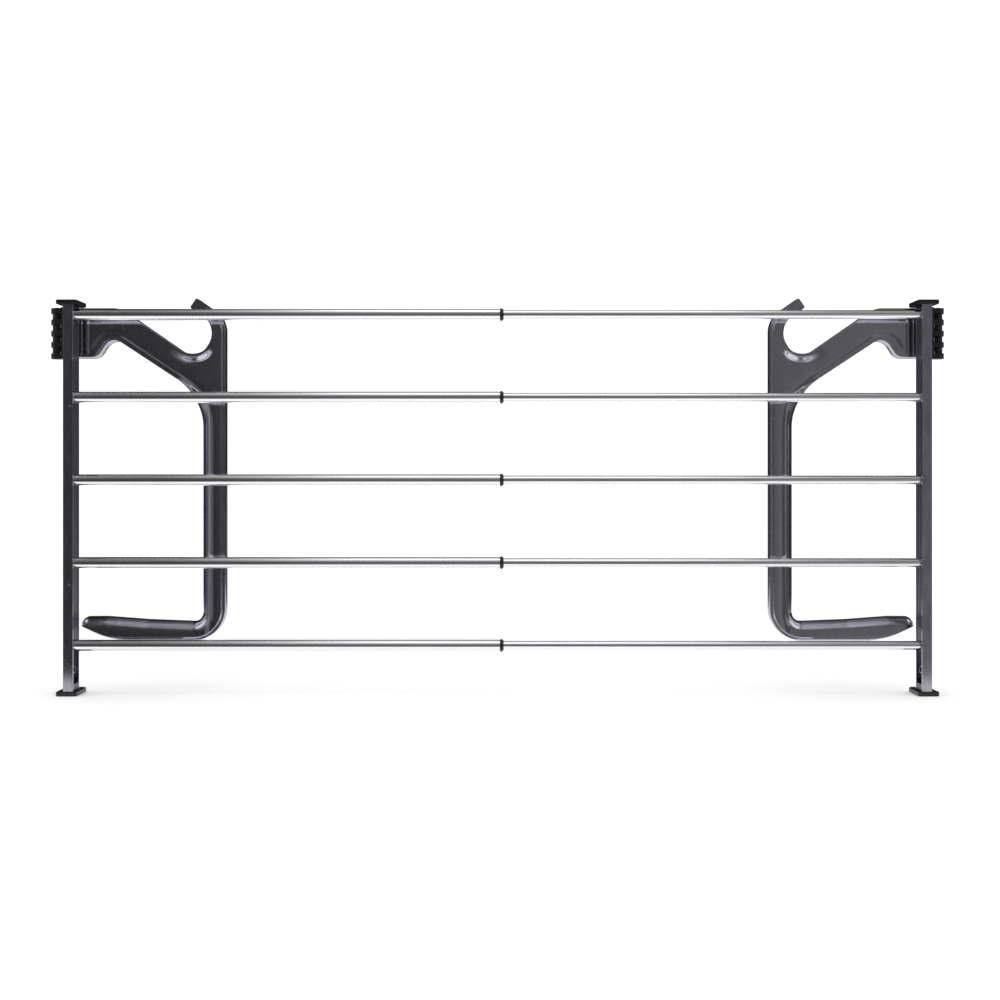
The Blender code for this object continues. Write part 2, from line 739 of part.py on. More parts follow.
def arm_screw_holes(side, name, pivot):
    """A cutter for the four screws through the cover, the arm and the leaf plate."""
    front, back = ARM_FRONT_Y - ARM_PLATE_THICKNESS - CUT_MARGIN, ARM_BACK_Y + CUT_MARGIN
    places = arm_screw_places(side)
    radius = SCREW_RADIUS + GAP
    holes = cylinder_mesh(*(((x, front, z), (x, back, z), radius, SCREW_STEPS) for x, z in places))
    return new_tool(f"{name}_arm_screw_cutter", holes, pivot)


def make_arm_screws(side, name, pivot):
    """Four screws that hold the arm and its back on the leaf."""
    length = ARM_BACK_Y - ARM_FRONT_Y + ARM_PLATE_THICKNESS
    sizes = (SCREW_RADIUS, SCREW_HEAD_RADIUS, SCREW_HEAD)
    for number, (x, z) in enumerate(arm_screw_places(side), start=1):
        mesh = stud_mesh(Vector((0, -1, 0)), sizes, length)
        seat = (x, ARM_BACK_Y + GAP, z)
        new_part(f"{name}_arm_screw_{number}", mesh, ZINC, pivot, seat)


# Assembly


def make_side(side, name, tube_radius):
    """Everything on one side but its tubes. Returns the empty of that side's frame."""
    body = new_empty(f"{name}_frame", (0, 0, 0))
    pivot_place = (side * PIN_X, PIN_Y, 0)
    pivot = new_empty(f"{name}_arm_pivot", pivot_place)
    make_rail(side, name, body)
    make_slot_plug(side, name, body)
    make_strip(side, name, body, tube_radius)
    low_plug = (CAP_THICKNESS - CAP_PLUG_ROOT, CAP_THICKNESS + CAP_PLUG_LOW)
    make_cap(side, f"{name}_bottom_cap", body, 0, low_plug)
    top = HEIGHT - CAP_THICKNESS
    make_cap(side, f"{name}_top_cap", body, top, (top - CAP_PLUG_HIGH, top + CAP_PLUG_ROOT))
    make_drive_pins(side, name, body)
    bore = pin_bore(name, pivot)
    screw_holes = arm_screw_holes(side, name, pivot)
    make_rail_leaf(side, name, pivot_place, body, bore)
    make_rail_screws(side, name, body)
    make_hinge_pin(name, body, pivot_place)
    make_arm_leaf(side, name, pivot, bore, screw_holes)
    make_arm(side, name, pivot, screw_holes)
    make_arm_back(side, name, pivot, screw_holes)
    make_arm_screws(side, name, pivot)
    return body


def main():
    left_body = make_side(LEFT, "left", OUTER_RADIUS)
    right_body = make_side(RIGHT, "right", INNER_RADIUS)
    for number, height in enumerate(tube_heights(), start=1):
        make_outer_tube(number, height, left_body)
        make_collar(number, height, left_body)
        make_inner_tube(number, height, right_body)
        make_bush(number, height, right_body)


main()
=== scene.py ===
import math

import bmesh
import bpy
import numpy as np
from mathutils import Matrix, Vector
from mathutils.geometry import delaunay_2d_cdt


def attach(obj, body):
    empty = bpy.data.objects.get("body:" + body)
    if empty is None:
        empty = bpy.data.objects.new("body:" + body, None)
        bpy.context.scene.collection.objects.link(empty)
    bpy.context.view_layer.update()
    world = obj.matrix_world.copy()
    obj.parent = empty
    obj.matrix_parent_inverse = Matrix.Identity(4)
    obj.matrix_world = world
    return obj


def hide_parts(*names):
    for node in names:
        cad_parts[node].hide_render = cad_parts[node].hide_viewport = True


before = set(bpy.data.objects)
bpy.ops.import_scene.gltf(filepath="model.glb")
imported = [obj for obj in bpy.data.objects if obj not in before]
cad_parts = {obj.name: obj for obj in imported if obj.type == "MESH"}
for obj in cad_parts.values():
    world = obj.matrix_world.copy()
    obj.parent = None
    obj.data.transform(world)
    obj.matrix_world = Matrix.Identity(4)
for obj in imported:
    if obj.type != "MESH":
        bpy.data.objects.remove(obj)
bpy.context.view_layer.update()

SIDES = {"left": -1, "right": 1}
# The clearance between parts, in metres as every length here is
GAP = 0.0003

# Rails, caps and strips
RAIL_OUTER_X, RAIL_INNER_X = 0.6090, 0.5950
RAIL_Y, RAIL_HALF, RAIL_WALL = -0.01445, 0.0150, 0.0015
HEIGHT, CAP_THICKNESS = 0.5560, 0.0060
CAP_INNER_X, CAP_OUTER_X = 0.5895, 0.6195
CAP_FRONT_Y, CAP_BACK_Y, CAP_CORNER = -0.03045, 0.02055, 0.0050
CAP_SUNK, CAP_FOOT_PLUG, CAP_TOP_PLUG = 0.001, 0.0100, 0.0026
SLOT_Z, SLOT_WIDTH, SLOT_LENGTH = 0.0335, 0.0040, 0.0090
STRIP_LOW_Z, STRIP_HIGH_Z, SOCKET_DEPTH = 0.0620, 0.5470, 0.0098
LIP_WIDTH, LIP_DEPTH = 0.0024, 0.0032
DRIVE_PIN_X, DRIVE_PIN_ZS = 0.5994, (0.1560, 0.4065)

# Tubes and collars
TUBE_ZS = (0.5360, 0.4195, 0.3030, 0.1865, 0.0700)
TUBE_Y, TUBE_WALL = -0.01845, 0.0006
OUTER_RADIUS, INNER_RADIUS = 0.0080, 0.0063
TUBE_END_X, MOUTH_X, OVERLAP = 0.6045, 0.0035, 0.0850
ROUND_STEPS = 96

# Hinges
PIN_X, PIN_Y, PIN_RADIUS = 0.6225, -0.01045, 0.0025
HINGE_LOW_Z, HINGE_HIGH_Z, KNUCKLES = 0.4740, 0.5454, 9
KNUCKLE_PITCH = (HINGE_HIGH_Z - HINGE_LOW_Z) / KNUCKLES
RAIL_KNUCKLE, ARM_KNUCKLE = 0.0085, 0.0065
RAIL_LEAF, RAIL_LEAF_FRONT, RAIL_LEAF_BACK, ARM_LEAF = 0.0030, -0.0170, 0.0090, 0.0027
BUTTON_TURN = math.radians(22)
RAIL_SCREW_Y, RAIL_SCREW_ZS = -0.0128, (0.4810, 0.5000, 0.5190)
PLATE_END, PLATE_LOW_Z, PLATE_HIGH_Z = 0.0295, 0.4800, 0.5450

# Arms: u runs inboard from the pin, z is the height, and y is in the row frame
ARM_FRONT, ARM_SEAM, ARM_BACK = 0.00415, 0.02255, 0.02815
ARM_TOP_Z, ROOT_U, ROOT_LOW_Z = 0.5480, 0.0095, 0.4773
LEG_INNER_U, LEG_OUTER_U = 0.2003, 0.2337
HOOK_U, HOOK_Z, HOOK_RADIUS, HOOK_TILT = 0.1863, 0.5125, 0.0285, math.radians(34.6)
FINGER_WIDTH, FINGER_REACH = 0.0170, 0.0232
FOOT_LOW_Z, FOOT_HIGH_Z = 0.0735, 0.1000
ARM_SCREWS = [(u, z) for u in (0.0155, 0.0245) for z in (0.4900, 0.5350)]

# A fastener's shank as (radius, length), and the turn from each screw to the next in radians
PIN_SHANK, SCREW_SHANK, ARM_SCREW_SHANK = (0.0010, 0.006), (0.0016, 0.010), (0.0016, 0.024)
HINGE_SHANK = (PIN_RADIUS, HINGE_HIGH_Z - HINGE_LOW_Z)
RAIL_SCREW_TURN, ARM_SCREW_TURN = 0.4, 0.7

# Mesh building: points nearer than these are joined, and so are faces nearer to level than this
SAME_POINT, NEAR_POINT, NEAR_LEVEL = 1e-7, 1e-6, math.radians(0.5)
# The kind of triangulation that keeps only what is inside its outline
INSIDE_ONLY = 1
FASTENER_SHARP, BUTTON_SHARP, HINGE_EASED = math.radians(30), math.radians(50), math.radians(40)


# Materials


class Look:
    """A procedural material and the record's slot that it stands for, with its noise in metres."""

    def __init__(self, name, slot, color, roughness, metallic=0.0):
        self.slot = slot
        self.material = bpy.data.materials.new(name)
        self.material.use_nodes = True
        self.tree = self.material.node_tree
        self.shader = self.tree.nodes["Principled BSDF"]
        self.color, self.bump = color, None
        self.set("Base Color", (*color, 1))
        self.set("Roughness", roughness)
        self.set("Metallic", metallic)
        self.link = self.tree.links.new
        self.place = self.node("ShaderNodeTexCoord").outputs["Object"]

    def set(self, socket, value):
        """Sets a constant on the shader's own socket."""
        self.shader.inputs[socket].default_value = value

    def node(self, kind, **values):
        """A new node with the given values on its input sockets."""
        made = self.tree.nodes.new(kind)
        for name, value in values.items():
            made.inputs[name].default_value = value
        return made

    def noise(self, scale, stretch=(1, 1, 1), detail=4.0, roughness=0.55):
        """A noise whose features are about 1/scale metres, stretched by the given factors."""
        mapping = self.node("ShaderNodeMapping", Scale=stretch)
        self.link(self.place, mapping.inputs["Vector"])
        made = self.node("ShaderNodeTexNoise", Scale=scale, Detail=detail, Roughness=roughness)
        self.link(mapping.outputs["Vector"], made.inputs["Vector"])
        return made.outputs["Fac"]

    def ramp(self, source, low, high, start=0.35, end=0.65):
        """A colour ramp between two colours or greys over a part of the source's range."""
        made = self.node("ShaderNodeValToRGB")
        for element, place, value in zip(made.color_ramp.elements, (start, end), (low, high)):
            element.position = place
            element.color = (*value, 1) if isinstance(value, tuple) else (value, value, value, 1)
        self.link(source, made.inputs["Fac"])
        return made.outputs["Color"]

    def tint(self, source, low, high, start=0.35, end=0.65):
        """Drives the base colour between two shades of it."""
        shades = [tuple(channel * factor for channel in self.color) for factor in (low, high)]
        self.link(self.ramp(source, *shades, start, end), self.shader.inputs["Base Color"])

    def rough(self, source, low, high, start=0.35, end=0.65):
        """Drives the roughness between two values."""
        self.link(self.ramp(source, low, high, start, end), self.shader.inputs["Roughness"])

    def raised(self, source, depth, strength=1.0):
        """Adds a bump of the given depth in metres on top of those that are there."""
        made = self.node("ShaderNodeBump", Strength=strength, Distance=depth)
        self.link(source, made.inputs["Height"])
        if self.bump:
            self.link(self.bump, made.inputs["Normal"])
        self.bump = made.outputs["Normal"]
        self.link(self.bump, self.shader.inputs["Normal"])


def make_looks():
    """Every material of the airer, by a short name."""
    steel = Look("polished_steel", "tube_steel", (0.89, 0.885, 0.91), 0.2, 1.0)
    steel.tint(steel.noise(1100, (0.004, 1, 1), detail=3), 0.96, 1.03, 0.3, 0.7)
    steel.rough(steel.noise(400, (0.01, 1, 1), detail=3), 0.11, 0.16)

    coat = Look("powder_coat", "rail_coat", (0.370, 0.365, 0.425), 0.20, 1.0)
    coat.tint(coat.noise(140, (1, 1, 0.25), detail=6), 0.86, 1.14)
    coat.rough(coat.noise(900, detail=3), 0.15, 0.21)
    coat.raised(coat.noise(1500, detail=2), 0.000002, 0.5)

    black = Look("hinge_black", "black_plastic", (0.004, 0.004, 0.005), 0.34)
    black.tint(black.noise(300, detail=5), 0.7, 1.4)
    black.rough(black.noise(700, detail=3), 0.26, 0.40)
    black.raised(black.noise(1800, detail=2), 0.00001, 0.5)

    strip = Look("strip_moulding", "strip_plastic", (0.030, 0.031, 0.044), 0.42)
    strip.tint(strip.noise(220, (1, 1, 0.08), detail=5), 0.8, 1.25)
    strip.rough(strip.noise(800, detail=3), 0.36, 0.50)
    strip.raised(strip.noise(1500, detail=2), 0.000012, 0.5)

    arm = Look("graphite_moulding", "arm_plastic", (0.430, 0.430, 0.490), 0.16, 1.0)
    arm.tint(arm.noise(45, (1, 1, 0.35), detail=5), 0.92, 1.07, 0.25, 0.75)
    arm.rough(arm.noise(320, (1, 1, 0.4)), 0.12, 0.17)
    arm.raised(arm.noise(160, (1, 1, 0.3), detail=2), 0.000004, 0.5)

    zinc = Look("zinc_screws", "screw_steel", (0.22, 0.22, 0.23), 0.38, 1.0)
    zinc.tint(zinc.noise(1600), 0.78, 1.15)
    zinc.rough(zinc.noise(2400, detail=3), 0.30, 0.46)
    zinc.raised(zinc.noise(2500, detail=2), 0.000008, 0.4)
    return {"steel": steel, "coat": coat, "black": black, "strip": strip, "arm": arm, "zinc": zinc}


LOOKS = make_looks()


# Mesh building


def in_scene(name, data):
    """A new object in the scene."""
    obj = bpy.data.objects.new(name, data)
    bpy.context.scene.collection.objects.link(obj)
    return obj


def piece(name, mesh, look, body, *stands_for, weighted=False):
    """A new object on a body, in place of some CAD nodes."""
    obj = in_scene(name, mesh)
    mesh.materials.append(LOOKS[look].material)
    if weighted:
        obj.modifiers.new("Normals", "WEIGHTED_NORMAL").keep_sharp = True
    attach(obj, body)
    if stands_for:
        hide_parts(*stands_for)


def shape_mesh(shape, sharp=math.radians(40)):
    """Turns a bmesh into a smooth mesh whose edges over an angle are sharp, and frees the bmesh."""
    bmesh.ops.recalc_face_normals(shape, faces=shape.faces)
    mesh = bpy.data.meshes.new("mesh")
    shape.to_mesh(mesh)
    shape.free()
    mesh.polygons.foreach_set("use_smooth", [True] * len(mesh.polygons))
    mesh.set_sharp_from_angle(angle=sharp)
    mesh.update()
    return mesh


def loop_edges(count):
    """Each point's number with the next one's, round a closed loop."""
    return [(i, (i + 1) % count) for i in range(count)]


def turned(profile, steps, place=(0, 0, 0), axis="x"):
    """A closed profile of (along, radius) points turned about an x or z axis through place."""
    shape = bmesh.new()
    rings = []
    for along, radius in profile:
        ring = []
        for step in range(steps):
            angle = 2 * math.pi * step / steps
            a, b = radius * math.cos(angle), radius * math.sin(angle)
            point = (a, b, along) if axis == "z" else (along, a, b)
            ring.append(shape.verts.new(Vector(point) + Vector(place)))
        rings.append(ring)
    for ring, following in zip(rings, rings[1:] + rings[:1]):
        for i, j in loop_edges(steps):
            shape.faces.new((ring[i], ring[j], following[j], following[i]))
    bmesh.ops.remove_doubles(shape, verts=shape.verts, dist=SAME_POINT)
    return shape


def box(low, high):
    """A box between two corners, as a bmesh."""
    shape = bmesh.new()
    made = bmesh.ops.create_cube(shape, size=1)
    low, high = Vector(low), Vector(high)
    for vert in made["verts"]:
        vert.co = (low + high) / 2 + Vector(a * b for a, b in zip(vert.co, high - low))
    return shape


def prism(outline, low, high, axis="z"):
    """An outline of points drawn out between two levels along z or y, as a bmesh."""
    shape = bmesh.new()
    if axis == "z":
        points = [Vector((x, y, low)) for x, y in outline]
        step = Vector((0, 0, high - low))
    else:
        points = [Vector((x, low, z)) for x, z in outline]
        step = Vector((0, high - low, 0))
    face = shape.faces.new([shape.verts.new(p) for p in points])
    made = bmesh.ops.extrude_face_region(shape, geom=[face])["geom"]
    moved = [item for item in made if isinstance(item, bmesh.types.BMVert)]
    bmesh.ops.translate(shape, verts=moved, vec=step)
    bmesh.ops.recalc_face_normals(shape, faces=shape.faces)
    return shape


def temp_object(shape):
    """An object for a Boolean to work with, from a bmesh, which is freed."""
    mesh = bpy.data.meshes.new("temp")
    bmesh.ops.recalc_face_normals(shape, faces=shape.faces)
    shape.to_mesh(mesh)
    shape.free()
    return in_scene("temp", mesh)


def combined(shape, tools, operation="DIFFERENCE"):
    """The shape after an exact Boolean with each tool, as a bmesh."""
    base = temp_object(shape)
    helpers = [temp_object(tool) for tool in tools]
    for helper in helpers:
        modifier = base.modifiers.new("Boolean", "BOOLEAN")
        modifier.object, modifier.operation, modifier.solver = helper, operation, "EXACT"
    bpy.context.view_layer.update()
    graph = bpy.context.evaluated_depsgraph_get()
    evaluated = base.evaluated_get(graph)
    mesh = evaluated.to_mesh()
    result = bmesh.new()
    result.from_mesh(mesh)
    evaluated.to_mesh_clear()
    for obj in (base, *helpers):
        data = obj.data
        bpy.data.objects.remove(obj)
        bpy.data.meshes.remove(data)
    return result


def eased(shape, width, segments=3, angle=math.radians(28)):
    """Rounds every edge that is sharper than an angle."""
    bmesh.ops.remove_doubles(shape, verts=shape.verts, dist=NEAR_POINT)
    bmesh.ops.dissolve_limit(shape, angle_limit=NEAR_LEVEL, verts=shape.verts, edges=shape.edges)
    edges = [e for e in shape.edges if len(e.link_faces) == 2 and e.calc_face_angle() > angle]
    verts = list(dict.fromkeys(v for e in edges for v in e.verts))
    bmesh.ops.bevel(
        shape,
        geom=edges + verts,
        offset=width,
        offset_type="OFFSET",
        segments=segments,
        profile=0.5,
        affect="EDGES",
        clamp_overlap=True,
    )
    return shape


def mirrored(outline, side):
    """Points given as distances from the middle, on the left or right side."""
    return [(side * x, y) for x, y in outline]


def arc_points(centre, radius, start, end, step=10.0):
    """Points on an arc, angles in degrees."""
    count = max(2, round(abs(end - start) / step))
    angles = [math.radians(start + (end - start) * i / count) for i in range(count + 1)]
    return [(centre[0] + radius * math.cos(a), centre[1] + radius * math.sin(a)) for a in angles]


# Rails, strips and caps


def slot_outline(middle, radius):
    """The rail's screw slot, or a smaller shape inside it."""
    half = (SLOT_LENGTH - SLOT_WIDTH) / 2
    return [
        *arc_points((middle, SLOT_Z + half), radius, 0, 180, 20),
        *arc_points((middle, SLOT_Z - half), radius, 180, 360, 20),
    ]


def make_rail(side, name, body):
    """The channel, open toward the tubes with a lip in front, and a black plug sunk in its slot as
    painted shade.
    """
    front, back, wall = RAIL_Y - RAIL_HALF, RAIL_Y + RAIL_HALF, RAIL_WALL
    outline = [
        (RAIL_INNER_X, front),
        (RAIL_OUTER_X, front),
        (RAIL_OUTER_X, back),
        (RAIL_INNER_X, back),
        (RAIL_INNER_X, back - wall),
        (RAIL_OUTER_X - wall, back - wall),
        (RAIL_OUTER_X - wall, front + wall),
        (RAIL_INNER_X + LIP_WIDTH, front + wall),
        (RAIL_INNER_X + LIP_WIDTH, front + LIP_DEPTH),
        (RAIL_INNER_X, front + LIP_DEPTH),
    ]
    end = CAP_THICKNESS + GAP
    shape = prism(mirrored(outline, side), end, HEIGHT - CAP_THICKNESS - GAP)
    middle = side * (RAIL_INNER_X + RAIL_OUTER_X) / 2
    slot = prism(slot_outline(middle, SLOT_WIDTH / 2), back - 3 * wall, back + wall, axis="y")
    rail = shape_mesh(eased(combined(shape, [slot]), width=0.0005))
    piece(f"{name}_rail_channel", rail, "coat", body, f"{name}_side_rail", weighted=True)
    # Painted shade: a black plug fills the slot so that it looks dark, in place of the shade seen in
    # it
    sunk = 0.0006
    plug = prism(slot_outline(middle, SLOT_WIDTH / 2 - GAP), back - wall + sunk, back, axis="y")
    plug = shape_mesh(eased(plug, width=0.0002, segments=2))
    piece(f"{name}_slot_shade_plug", plug, "black", body, f"{name}_slot_plug", weighted=True)


def make_strip(side, name, body, tube_radius):
    """The socket strip: its face has two shallow grooves and a chamfered seat round each tube."""
    face, lip = RAIL_INNER_X + 0.0006, RAIL_INNER_X + LIP_WIDTH + GAP
    floor, bottom = RAIL_OUTER_X - RAIL_WALL - GAP, RAIL_INNER_X + SOCKET_DEPTH
    half, notch = RAIL_HALF - RAIL_WALL - GAP, RAIL_HALF - LIP_DEPTH - GAP
    groove, depth, reach = 0.0011, 0.0009, 0.0062
    chamfer, chamfer_depth, above = 0.0030, 0.0010, 0.002
    outline = [(lip, -half), (lip, -notch), (face, -notch)]
    for middle in (-reach - groove, reach + groove):
        outline += [
            (face, middle - groove),
            (face + depth, middle - groove / 2),
            (face + depth, middle + groove / 2),
            (face, middle + groove),
        ]
    outline += [(face, half), (floor, half), (floor, -half)]
    outline = [(side * x, RAIL_Y + y) for x, y in outline]
    shape = prism(outline, STRIP_LOW_Z, STRIP_HIGH_Z)
    seats = []
    for z in TUBE_ZS:
        profile = [
            (side * (face - above), 0),
            (side * (face - above), tube_radius + chamfer),
            (side * (face + chamfer_depth), tube_radius + GAP),
            (side * bottom, tube_radius + GAP),
            (side * bottom, 0),
        ]
        seats.append(turned(profile, steps=36, place=(0, TUBE_Y, z)))
    strip = shape_mesh(eased(combined(shape, seats), width=0.0003, segments=2))
    piece(f"{name}_strip_moulding", strip, "strip", body, f"{name}_socket_strip", weighted=True)


def make_cap(side, name, body, low, plug_range):
    """A plate on a rail's end, with a plug inside the rail."""
    cut = CAP_CORNER
    outline = [
        (CAP_INNER_X, CAP_FRONT_Y),
        (CAP_OUTER_X - cut / 2, CAP_FRONT_Y),
        (CAP_OUTER_X, CAP_FRONT_Y + cut / 2),
        (CAP_OUTER_X, CAP_BACK_Y - cut),
        (CAP_OUTER_X - cut, CAP_BACK_Y),
        (CAP_INNER_X + cut, CAP_BACK_Y),
        (CAP_INNER_X, CAP_BACK_Y - cut),
    ]
    shape = eased(prism(mirrored(outline, side), low, low + CAP_THICKNESS), width=0.0009)
    inner, outer = sorted(side * x for x in (RAIL_INNER_X + GAP, RAIL_OUTER_X - RAIL_WALL - GAP))
    half = RAIL_HALF - RAIL_WALL - GAP
    plug = box((inner, RAIL_Y - half, plug_range[0]), (outer, RAIL_Y + half, plug_range[1]))
    shape = combined(shape, [plug], "UNION")
    piece(f"{name}_plate", shape_mesh(shape), "black", body, name, weighted=True)


# Fasteners


def head_shape(radius, height, crossed):
    """A domed head that stands on the xy plane, with a cross recess if it is a screw's."""
    rim_height, squareness = 0.25, 0.8
    profile = [(0, 0), (0, radius)]
    for angle in (math.radians(a) for a in range(0, 85, 12)):
        rise = rim_height + (1 - rim_height) * math.sin(angle)
        profile.append((height * rise, radius * math.cos(angle) ** squareness))
    profile.append((height, 0))
    shape = turned(profile, steps=32, axis="z")
    if not crossed:
        return shape
    reach, wide, deep, taper = radius * 0.55, radius * 0.13, height * 0.35, 0.55
    bars = []
    for turn in (0, 90):
        bar = box((-reach, -wide, height - deep), (reach, wide, height * 2))
        for vert in bar.verts:
            if vert.co.z < height:
                vert.co.x *= taper
        bmesh.ops.rotate(bar, verts=bar.verts, matrix=Matrix.Rotation(math.radians(turn), 3, "Z"))
        bars.append(bar)
    return combined(shape, [combined(bars[0], bars[1:], "UNION")])


# The fasteners' heads: radius, height, and whether there is a cross recess
HEAD_SIZES = {
    "screw": (0.0033, 0.0019, True),
    "pin": (0.0016, 0.0005, False),
    "hinge": (0.0045, 0.0011, False),
}
HEADS = {kind: shape_mesh(head_shape(*size), FASTENER_SHARP) for kind, size in HEAD_SIZES.items()}


def set_on(shape, seat, facing, turn=0.0):
    """Moves a shape that stands on the xy plane to a seat, so that its top faces outward."""
    place = Vector(facing).to_track_quat("Z", "Y").to_matrix().to_4x4()
    place = Matrix.Translation(Vector(seat)) @ place @ Matrix.Rotation(turn, 4, "Z")
    bmesh.ops.transform(shape, matrix=place, verts=shape.verts)


def stud(name, kind, seat, facing, body, node, shank, turn=0.0):
    """A headed fastener whose shank starts just under the head, so that they share no face."""
    radius, length = shank
    under = -0.00001
    profile = [(under, 0), (under, radius), (-length, radius), (-length, 0)]
    shape = turned(profile, steps=24, axis="z")
    shape.from_mesh(HEADS[kind])
    set_on(shape, seat, facing, turn)
    piece(name, shape_mesh(shape, FASTENER_SHARP), "zinc", body, node)


# Tubes


def make_tube(number, z, kind, body):
    """An outer or inner tube with softened edges at its open ends."""
    start, end, radius = MOUTH_X - OVERLAP, TUBE_END_X, INNER_RADIUS
    if kind == "outer":
        start, end, radius = -TUBE_END_X, MOUTH_X, OUTER_RADIUS
    wall, soft = TUBE_WALL, 0.0002
    profile = [
        (start + soft, radius),
        (end - soft, radius),
        (end, radius - soft),
        (end, radius - wall + soft / 2),
        (end - soft, radius - wall),
        (start + soft, radius - wall),
        (start, radius - wall + soft / 2),
        (start, radius - soft),
    ]
    tube = shape_mesh(turned(profile, ROUND_STEPS, (0, TUBE_Y, z)))
    piece(f"{kind}_steel_{number}", tube, "steel", body, f"{kind}_tube_{number}")


def make_collar(number, z, body):
    """The dark ring in an outer tube's mouth: a rounded flange, a smaller lip and a hidden spigot."""
    face, bore = MOUTH_X + GAP, INNER_RADIUS + 0.0002
    flange, width, lip = 0.0090, 0.0033, 0.0015
    spigot, spigot_length = OUTER_RADIUS - TUBE_WALL - GAP, 0.0080
    front = face + width
    mouth = front + lip
    profile = [
        (mouth, bore),
        (mouth, bore + 0.0006),
        (mouth - 0.0004, bore + 0.0010),
        (front, bore + 0.0012),
        (front, flange - 0.0007),
        (front - 0.0003, flange - 0.0002),
        (front - 0.0008, flange),
        (face + 0.0006, flange),
        (face + 0.0001, flange - 0.0003),
        (face, flange - 0.0008),
        (face, spigot),
        (face - spigot_length, spigot),
        (face - spigot_length, bore),
    ]
    ring = shape_mesh(turned(profile, ROUND_STEPS, (0, TUBE_Y, z)))
    piece(f"collar_ring_{number}", ring, "black", body, f"tube_collar_{number}")


# Hinges


def knuckle_clearance(side, first, u_range, y_range):
    """Boxes over every other knuckle's space, from the given one, past the hinge's two ends."""
    past = 0.002
    made = []
    for number in range(first, KNUCKLES, 2):
        below = GAP / 2 if number else past
        above = GAP / 2 if number < KNUCKLES - 1 else past
        low = HINGE_LOW_Z + number * KNUCKLE_PITCH - below
        high = HINGE_LOW_Z + (number + 1) * KNUCKLE_PITCH + above
        xs = sorted(side * (PIN_X - u) for u in u_range)
        ys = [PIN_Y + y for y in y_range]
        made.append(box((xs[0], ys[0], low), (xs[1], ys[1], high)))
    return made


def make_rail_leaf(side, name, body):
    """The leaf on the rail's outer face with its five knuckles, and a button on each knuckle."""
    outer = PIN_X - RAIL_OUTER_X - GAP - RAIL_LEAF
    inner = outer + RAIL_LEAF
    outline = [
        (outer, RAIL_LEAF_FRONT),
        (inner, RAIL_LEAF_FRONT),
        (inner, RAIL_LEAF_BACK),
        (outer, RAIL_LEAF_BACK),
        (outer, 0),
        *arc_points((0, 0), RAIL_KNUCKLE, 0, 270, 9),
        (outer, -RAIL_KNUCKLE),
    ]
    outline = [(side * (PIN_X - u), PIN_Y + y) for u, y in outline]
    shape = prism(outline, HINGE_LOW_Z, HINGE_HIGH_Z)
    tools = knuckle_clearance(side, 1, (-0.0100, ARM_KNUCKLE + 0.0004), (-0.0100, 0.0100))
    leaf = shape_mesh(eased(combined(shape, tools), width=0.0010, angle=HINGE_EASED))
    piece(f"{name}_leaf_on_rail", leaf, "black", body, f"{name}_rail_leaf", weighted=True)
    facing = Vector((side * math.sin(BUTTON_TURN), -math.cos(BUTTON_TURN), 0))
    for number in range(0, KNUCKLES, 2):
        z = HINGE_LOW_Z + (number + 0.5) * KNUCKLE_PITCH
        seat = Vector((side * PIN_X, PIN_Y, z)) + facing * (RAIL_KNUCKLE - GAP)
        make_button(f"{name}_knuckle_button_{number // 2 + 1}", seat, facing, body)


def make_button(name, seat, facing, body):
    """A low round button with a dished middle, on the front of a knuckle."""
    rim, bowl, height, sunk = 0.0026, 0.0014, 0.0007, 0.0006
    profile = [(-sunk, 0), (-sunk, rim), (height * 0.5, rim), (height, rim - 0.0004)]
    profile += [(height, bowl + 0.0003), (height * 0.55, bowl), (height * 0.35, 0)]
    shape = turned(profile, steps=40, axis="z")
    set_on(shape, seat, facing)
    piece(name, shape_mesh(shape, BUTTON_SHARP), "black", body)


def make_arm_leaf(side, name, body):
    """The plate behind the rail, which the arm is screwed to, with its four knuckles."""
    back = ARM_FRONT - GAP - PIN_Y
    front = back - ARM_LEAF
    web = 0.0010
    turn = math.degrees(math.acos(web / ARM_KNUCKLE))
    outline = [
        *arc_points((0, 0), ARM_KNUCKLE, 180, 360 + turn, 9),
        (web, front),
        (PLATE_END, front),
        (PLATE_END, back),
        (-ARM_KNUCKLE, back),
    ]
    outline = [(side * (PIN_X - u), PIN_Y + y) for u, y in outline]
    shape = prism(outline, PLATE_LOW_Z, PLATE_HIGH_Z)
    tools = knuckle_clearance(side, 0, (-0.0100, 0.0100), (-0.0100, RAIL_KNUCKLE + 0.0008))
    leaf = shape_mesh(eased(combined(shape, tools), width=0.0006, segments=2, angle=HINGE_EASED))
    piece(f"{name}_leaf_on_arm", leaf, "black", body, f"{name}_arm_leaf", weighted=True)


# Arms

# A place q on the outline: each corner's number is its middle, and this is the first corner again
LAST_PLACE = 18.0
OUTLINE_SPACING, OUTLINE_TURN = 0.0014, math.radians(6)
# The rings of points inside the outline, and the grid inside those
RINGS = (
    0.00012, 0.0004, 0.0008, 0.0013, 0.0019, 0.0026, 0.0033, 0.0040, 0.0048, 0.0056, 0.0064,
    0.0072, 0.0080, 0.0089, 0.0099, 0.0110, 0.0122, 0.0135,
)
GRID_PITCH, GRID_INSET = 0.0018, 0.0142
# The points on a ring stand further apart the further in it is
EDGE_ROOM, ROOM_GROWTH, WIDEST_ROOM, NEARLY = 0.0007, 0.1, 0.0016, 0.985
# The shell's side wall as (inset, distance from the seam): it ends in a small chamfer
SHELL_WALL = ((0.0, 0.0008), (0.00015, 0.0003), (0.0005, 0.0))


